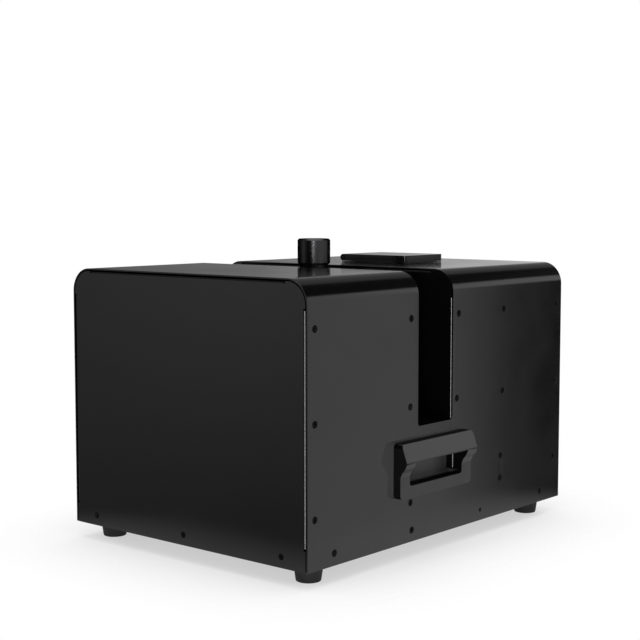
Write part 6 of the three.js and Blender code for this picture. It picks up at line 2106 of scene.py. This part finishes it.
@dataclass
class Connectors(CarriedGroup):
    """The row of connectors along the bottom of the rear panel."""

    pieces: tuple[Carried, ...] = (
        Carried("mains_inlet", "power_inlet", PLASTIC, 0.4),
        Carried("fuse_cap", "fuse_holder", PLASTIC, 0.5),
        Carried("rocker_bezel", "rocker_frame", PLASTIC, 0.4),
        Carried("rocker_key", "power_rocker", RED, 0.4, "rocker"),
        Carried("data_socket_in", "data_input", BRIGHT, 0.3),
        Carried("data_socket_out", "data_output", PLASTIC, 0.3),
        Carried("release_latch", "data_latch", BRIGHT, 0.4, "latch"),
    )
    screws: tuple[tuple[float, float, float], ...] = (
        (-138.5, 70.0, 2.8), (-97.5, 70.0, 2.8), (60.0, 82.0, 2.2), (80.0, 58.0, 2.2),
        (102.0, 82.0, 2.2), (122.0, 58.0, 2.2),
    )
    panel: float = 217.5
    screw: Fastener = Fastener(2.0, 0.9, Drive.CROSS, dome=0.35)
    screw_sink: float = 0.5
    screw_turn: float = 30.0

    def build(self, bench: Bench) -> None:
        """Builds the connectors and their screws.

        Args:
            bench: where the pieces go.
        """
        super().build(bench)
        heads = bmesh.new()
        head = self.screw.build()
        for x, z, rise in self.screws:
            y = self.panel + rise - self.screw_sink
            stamp(heads, head, placed(Heading.REAR, x, y, z, self.screw_turn))
        head.free()
        bench.add("connector_screws", heads, SCREW)


@dataclass(frozen=True)
class Card:
    """A pale card round the set, as the machine's gloss mirrors it.

    Angles are in degrees: azimuth from the rear towards the right, elevation from level up.
    """

    azimuth: float
    half_width: float
    low: float
    high: float
    level: float
    side_blur: float = 6.0
    edge_blur: float = 4.0

    def mask(self, tree: Any, azimuth: Any, elevation: Any) -> Any:
        """Adds the nodes that light up this card's part of the world.

        Args:
            tree: the world's tree.
            azimuth: the socket with the azimuth in degrees.
            elevation: the socket with the elevation in degrees.

        Returns:
            The socket with the card's level.
        """
        turned = Effect.math(tree, "SUBTRACT", azimuth, self.azimuth)
        turned = Effect.math(tree, "ABSOLUTE", Effect.wrap(tree, turned), 0.0)
        side, blur = self.side_blur / 2, self.edge_blur / 2
        inside = Effect.remap(tree, turned, self.half_width - side, self.half_width + side, (1, 0))
        above = Effect.remap(tree, elevation, self.low - blur, self.low + blur)
        below = Effect.remap(tree, elevation, self.high - blur, self.high + blur, (1, 0))
        both = Effect.math(tree, "MULTIPLY", above, below)
        shown = Effect.math(tree, "MULTIPLY", inside, both)
        return Effect.math(tree, "MULTIPLY", shown, self.level)


@dataclass(frozen=True)
class SoftBox:
    """A rectangular lamp that looks at the machine."""

    name: str
    place: tuple[float, float, float]
    width: float
    height: float
    power: float

    def hang(self) -> None:
        """Makes the lamp and turns it to the machine."""
        lamp = bpy.data.lights.new(self.name, "AREA")
        lamp.shape = "RECTANGLE"
        lamp.size, lamp.size_y = self.width, self.height
        lamp.energy = self.power
        holder = bpy.data.objects.new(self.name, lamp)
        holder.location = self.place
        aim = Vector((0, 0, 0.2)) - Vector(self.place)
        holder.rotation_euler = aim.to_track_quat("-Z", "Y").to_euler()
        holder.visible_camera = False
        bpy.context.scene.collection.objects.link(holder)


@dataclass
class Studio:
    """The table, the white surroundings, the soft light and the camera."""

    camera: tuple[float, float, float] = (1.0413, -1.2345, 0.3839)
    azimuth: float = 40.46
    pitch: float = 4.99
    lens: float = 77.24
    table_colour: Colour = (0.9, 0.9, 0.9)
    table_size: tuple[float, float] = (0.33, 0.39)
    shadow_share: float = 0.45
    plain_level: float = 0.75
    dim: float = 0.015
    cards: tuple[Card, ...] = (
        Card(91.85, 58.05, -95.0, 20.5, 0.82, 1.0, 3.0),
        Card(28.5, 6.0, 7.0, 20.5, 0.9, 3.0, 3.0),
        Card(-130.0, 45.0, -95.0, 4.0, 0.1, 30.0, 8.0),
        Card(-143.0, 15.0, -9.0, 14.0, 0.42, 16.0, 12.0),
        Card(-20.0, 34.0, -3.0, 26.0, 0.21, 24.0, 10.0),
        Card(-12.0, 24.0, -3.0, 14.0, 0.6, 14.0, 8.0),
        Card(-9.0, 30.0, -95.0, -7.0, 0.42, 12.0, 6.0),
        Card(26.0, 9.0, -95.0, -17.0, 0.5, 8.0, 6.0),
        Card(-80.0, 38.0, -95.0, -9.0, 0.45, 14.0, 6.0),
        Card(-135.0, 62.0, -95.0, -20.0, 0.5, 10.0, 6.0),
        Card(-93.0, 90.0, 26.0, 95.0, 0.17, 8.0, 10.0),
        Card(100.0, 62.0, 50.0, 95.0, 0.22, 10.0, 10.0),
    )
    lamps: tuple[SoftBox, ...] = (
        SoftBox("overhead", (0.1, 0.1, 2.2), 2.0, 2.0, 26.0),
        SoftBox("behind_camera", (1.33, -1.78, -0.19), 0.44, 1.0, 24.0),
    )

    def build(self) -> None:
        """Builds the whole studio."""
        bpy.context.scene.view_settings.view_transform = "Standard"
        self.table()
        self.world()
        for lamp in self.lamps:
            lamp.hang()
        self.aim()

    def table(self) -> None:
        """Lays the pale table top, which fades into the white round it."""
        bm = bmesh.new()
        bmesh.ops.create_grid(bm, x_segments=1, y_segments=1, size=1.0)
        bmesh.ops.scale(bm, verts=bm.verts[:], vec=(*self.table_size, 1.0))
        mesh = bpy.data.meshes.new("table_top")
        bm.to_mesh(mesh)
        bm.free()
        mesh.materials.append(self.table_finish())
        top = bpy.data.objects.new("table_top", mesh)
        bpy.context.scene.collection.objects.link(top)

    def table_finish(self) -> bpy.types.Material:
        """Builds the table's surface: pale, with the machine's shadow, and clear at its rim.

        Returns:
            The material.
        """
        material = bpy.data.materials.new("table_paper")
        material.use_nodes = True
        tree = material.node_tree
        shader = tree.nodes["Principled BSDF"]
        shader.inputs["Base Color"].default_value = (*self.table_colour, 1.0)
        shader.inputs["Roughness"].default_value = 0.9
        shader.inputs["Specular IOR Level"].default_value = 0.0
        white = tree.nodes.new("ShaderNodeEmission")
        path = tree.nodes.new("ShaderNodeLightPath")
        seen = Effect.math(tree, "MAXIMUM", path.outputs["Is Camera Ray"], Effect.math(
            tree, "MAXIMUM", path.outputs["Is Glossy Ray"], path.outputs["Is Transmission Ray"]
        ))
        mix = tree.nodes.new("ShaderNodeMixShader")
        lost = 1 - self.shadow_share
        tree.links.new(Effect.math(tree, "MULTIPLY", seen, lost), mix.inputs[0])
        tree.links.new(shader.outputs[0], mix.inputs[1])
        tree.links.new(white.outputs[0], mix.inputs[2])
        fade = tree.nodes.new("ShaderNodeMixShader")
        tree.links.new(self.rim(tree), fade.inputs[0])
        tree.links.new(mix.outputs[0], fade.inputs[1])
        clear = tree.nodes.new("ShaderNodeBsdfTransparent")
        tree.links.new(clear.outputs[0], fade.inputs[2])
        tree.links.new(fade.outputs[0], tree.nodes["Material Output"].inputs["Surface"])
        return material

    def rim(self, tree: Any) -> Any:
        """Adds the mask with which the table fades out towards its rim.

        Args:
            tree: the material's tree.

        Returns:
            The mask's socket, 1 at the rim.
        """
        place = tree.nodes.new("ShaderNodeTexCoord").outputs["Object"]
        split = tree.nodes.new("ShaderNodeSeparateXYZ")
        tree.links.new(place, split.inputs[0])
        total: Any = 0.0
        for axis, half in zip("XY", self.table_size):
            share = Effect.math(tree, "DIVIDE", split.outputs[axis], half)
            share = Effect.math(tree, "POWER", Effect.math(tree, "ABSOLUTE", share, 0.0), 4.0)
            total = Effect.math(tree, "ADD", share, total)
        reach = Effect.math(tree, "POWER", total, 0.25)
        return Effect.remap(tree, reach, 0.6, 0.98)

    def world(self) -> None:
        """Makes the surroundings: white to the camera, cards to the gloss, and plain light."""
        world = bpy.data.worlds.new("studio")
        bpy.context.scene.world = world
        world.use_nodes = True
        tree = world.node_tree
        background = tree.nodes["Background"]
        background.inputs["Color"].default_value = (1, 1, 1, 1)
        path = tree.nodes.new("ShaderNodeLightPath")
        mirrored = Effect.math(
            tree, "MAXIMUM", path.outputs["Is Glossy Ray"], path.outputs["Is Transmission Ray"]
        )
        split = tree.nodes.new("ShaderNodeSeparateXYZ")
        direction = tree.nodes.new("ShaderNodeTexCoord").outputs["Generated"]
        tree.links.new(direction, split.inputs[0])
        azimuth = Effect.math(tree, "ARCTAN2", split.outputs["X"], split.outputs["Y"])
        azimuth = Effect.math(tree, "MULTIPLY", azimuth, math.degrees(1))
        elevation = Effect.math(tree, "ARCSINE", split.outputs["Z"], 0.0)
        elevation = Effect.math(tree, "MULTIPLY", elevation, math.degrees(1))
        cards: Any = self.dim
        for card in self.cards:
            cards = Effect.math(tree, "ADD", card.mask(tree, azimuth, elevation), cards)
        level = Effect.math(tree, "MULTIPLY", mirrored, cards)
        seen = Effect.math(tree, "MAXIMUM", path.outputs["Is Camera Ray"], level)
        other = Effect.math(tree, "SUBTRACT", 1.0, Effect.math(
            tree, "MAXIMUM", path.outputs["Is Camera Ray"], mirrored
        ))
        plain = Effect.math(tree, "MULTIPLY", other, self.plain_level)
        tree.links.new(Effect.math(tree, "ADD", seen, plain), background.inputs["Strength"])

    def aim(self) -> None:
        """Stands the camera where the photograph was taken."""
        lens = bpy.data.cameras.new("camera")
        lens.lens = self.lens
        lens.sensor_width = 36.0
        lens.clip_end = 100.0
        turn, down = math.radians(self.azimuth), math.radians(self.pitch)
        ahead = Vector((
            -math.sin(turn) * math.cos(down), math.cos(turn) * math.cos(down), -math.sin(down)
        ))
        camera = bpy.data.objects.new("camera", lens)
        camera.location = self.camera
        camera.rotation_euler = ahead.to_track_quat("-Z", "Y").to_euler()
        bpy.context.scene.collection.objects.link(camera)
        bpy.context.scene.camera = camera


def main() -> None:
    """Builds the machine, one sub-assembly after the other."""
    logging.basicConfig(level=logging.INFO, format="%(message)s")
    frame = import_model()
    bench = Bench(frame)
    for assembly in (
        Casing(), FrontWall(), SlotLining(), RearWall(), Underside(), HandGrips(), Filler(),
        Nozzle(), SwingDrive(), GranuleFeed(), Blower(), RearFan("left", -RearWall.fan_x),
        RearFan("right", RearWall.fan_x), Electrics(), Controls(), Connectors(),
    ):
        log.info("building %s", type(assembly).__name__)
        assembly.build(bench)
    Studio().build()
    log.info("%d pieces", len(bench.made))


if __name__ == "__main__":
    main()
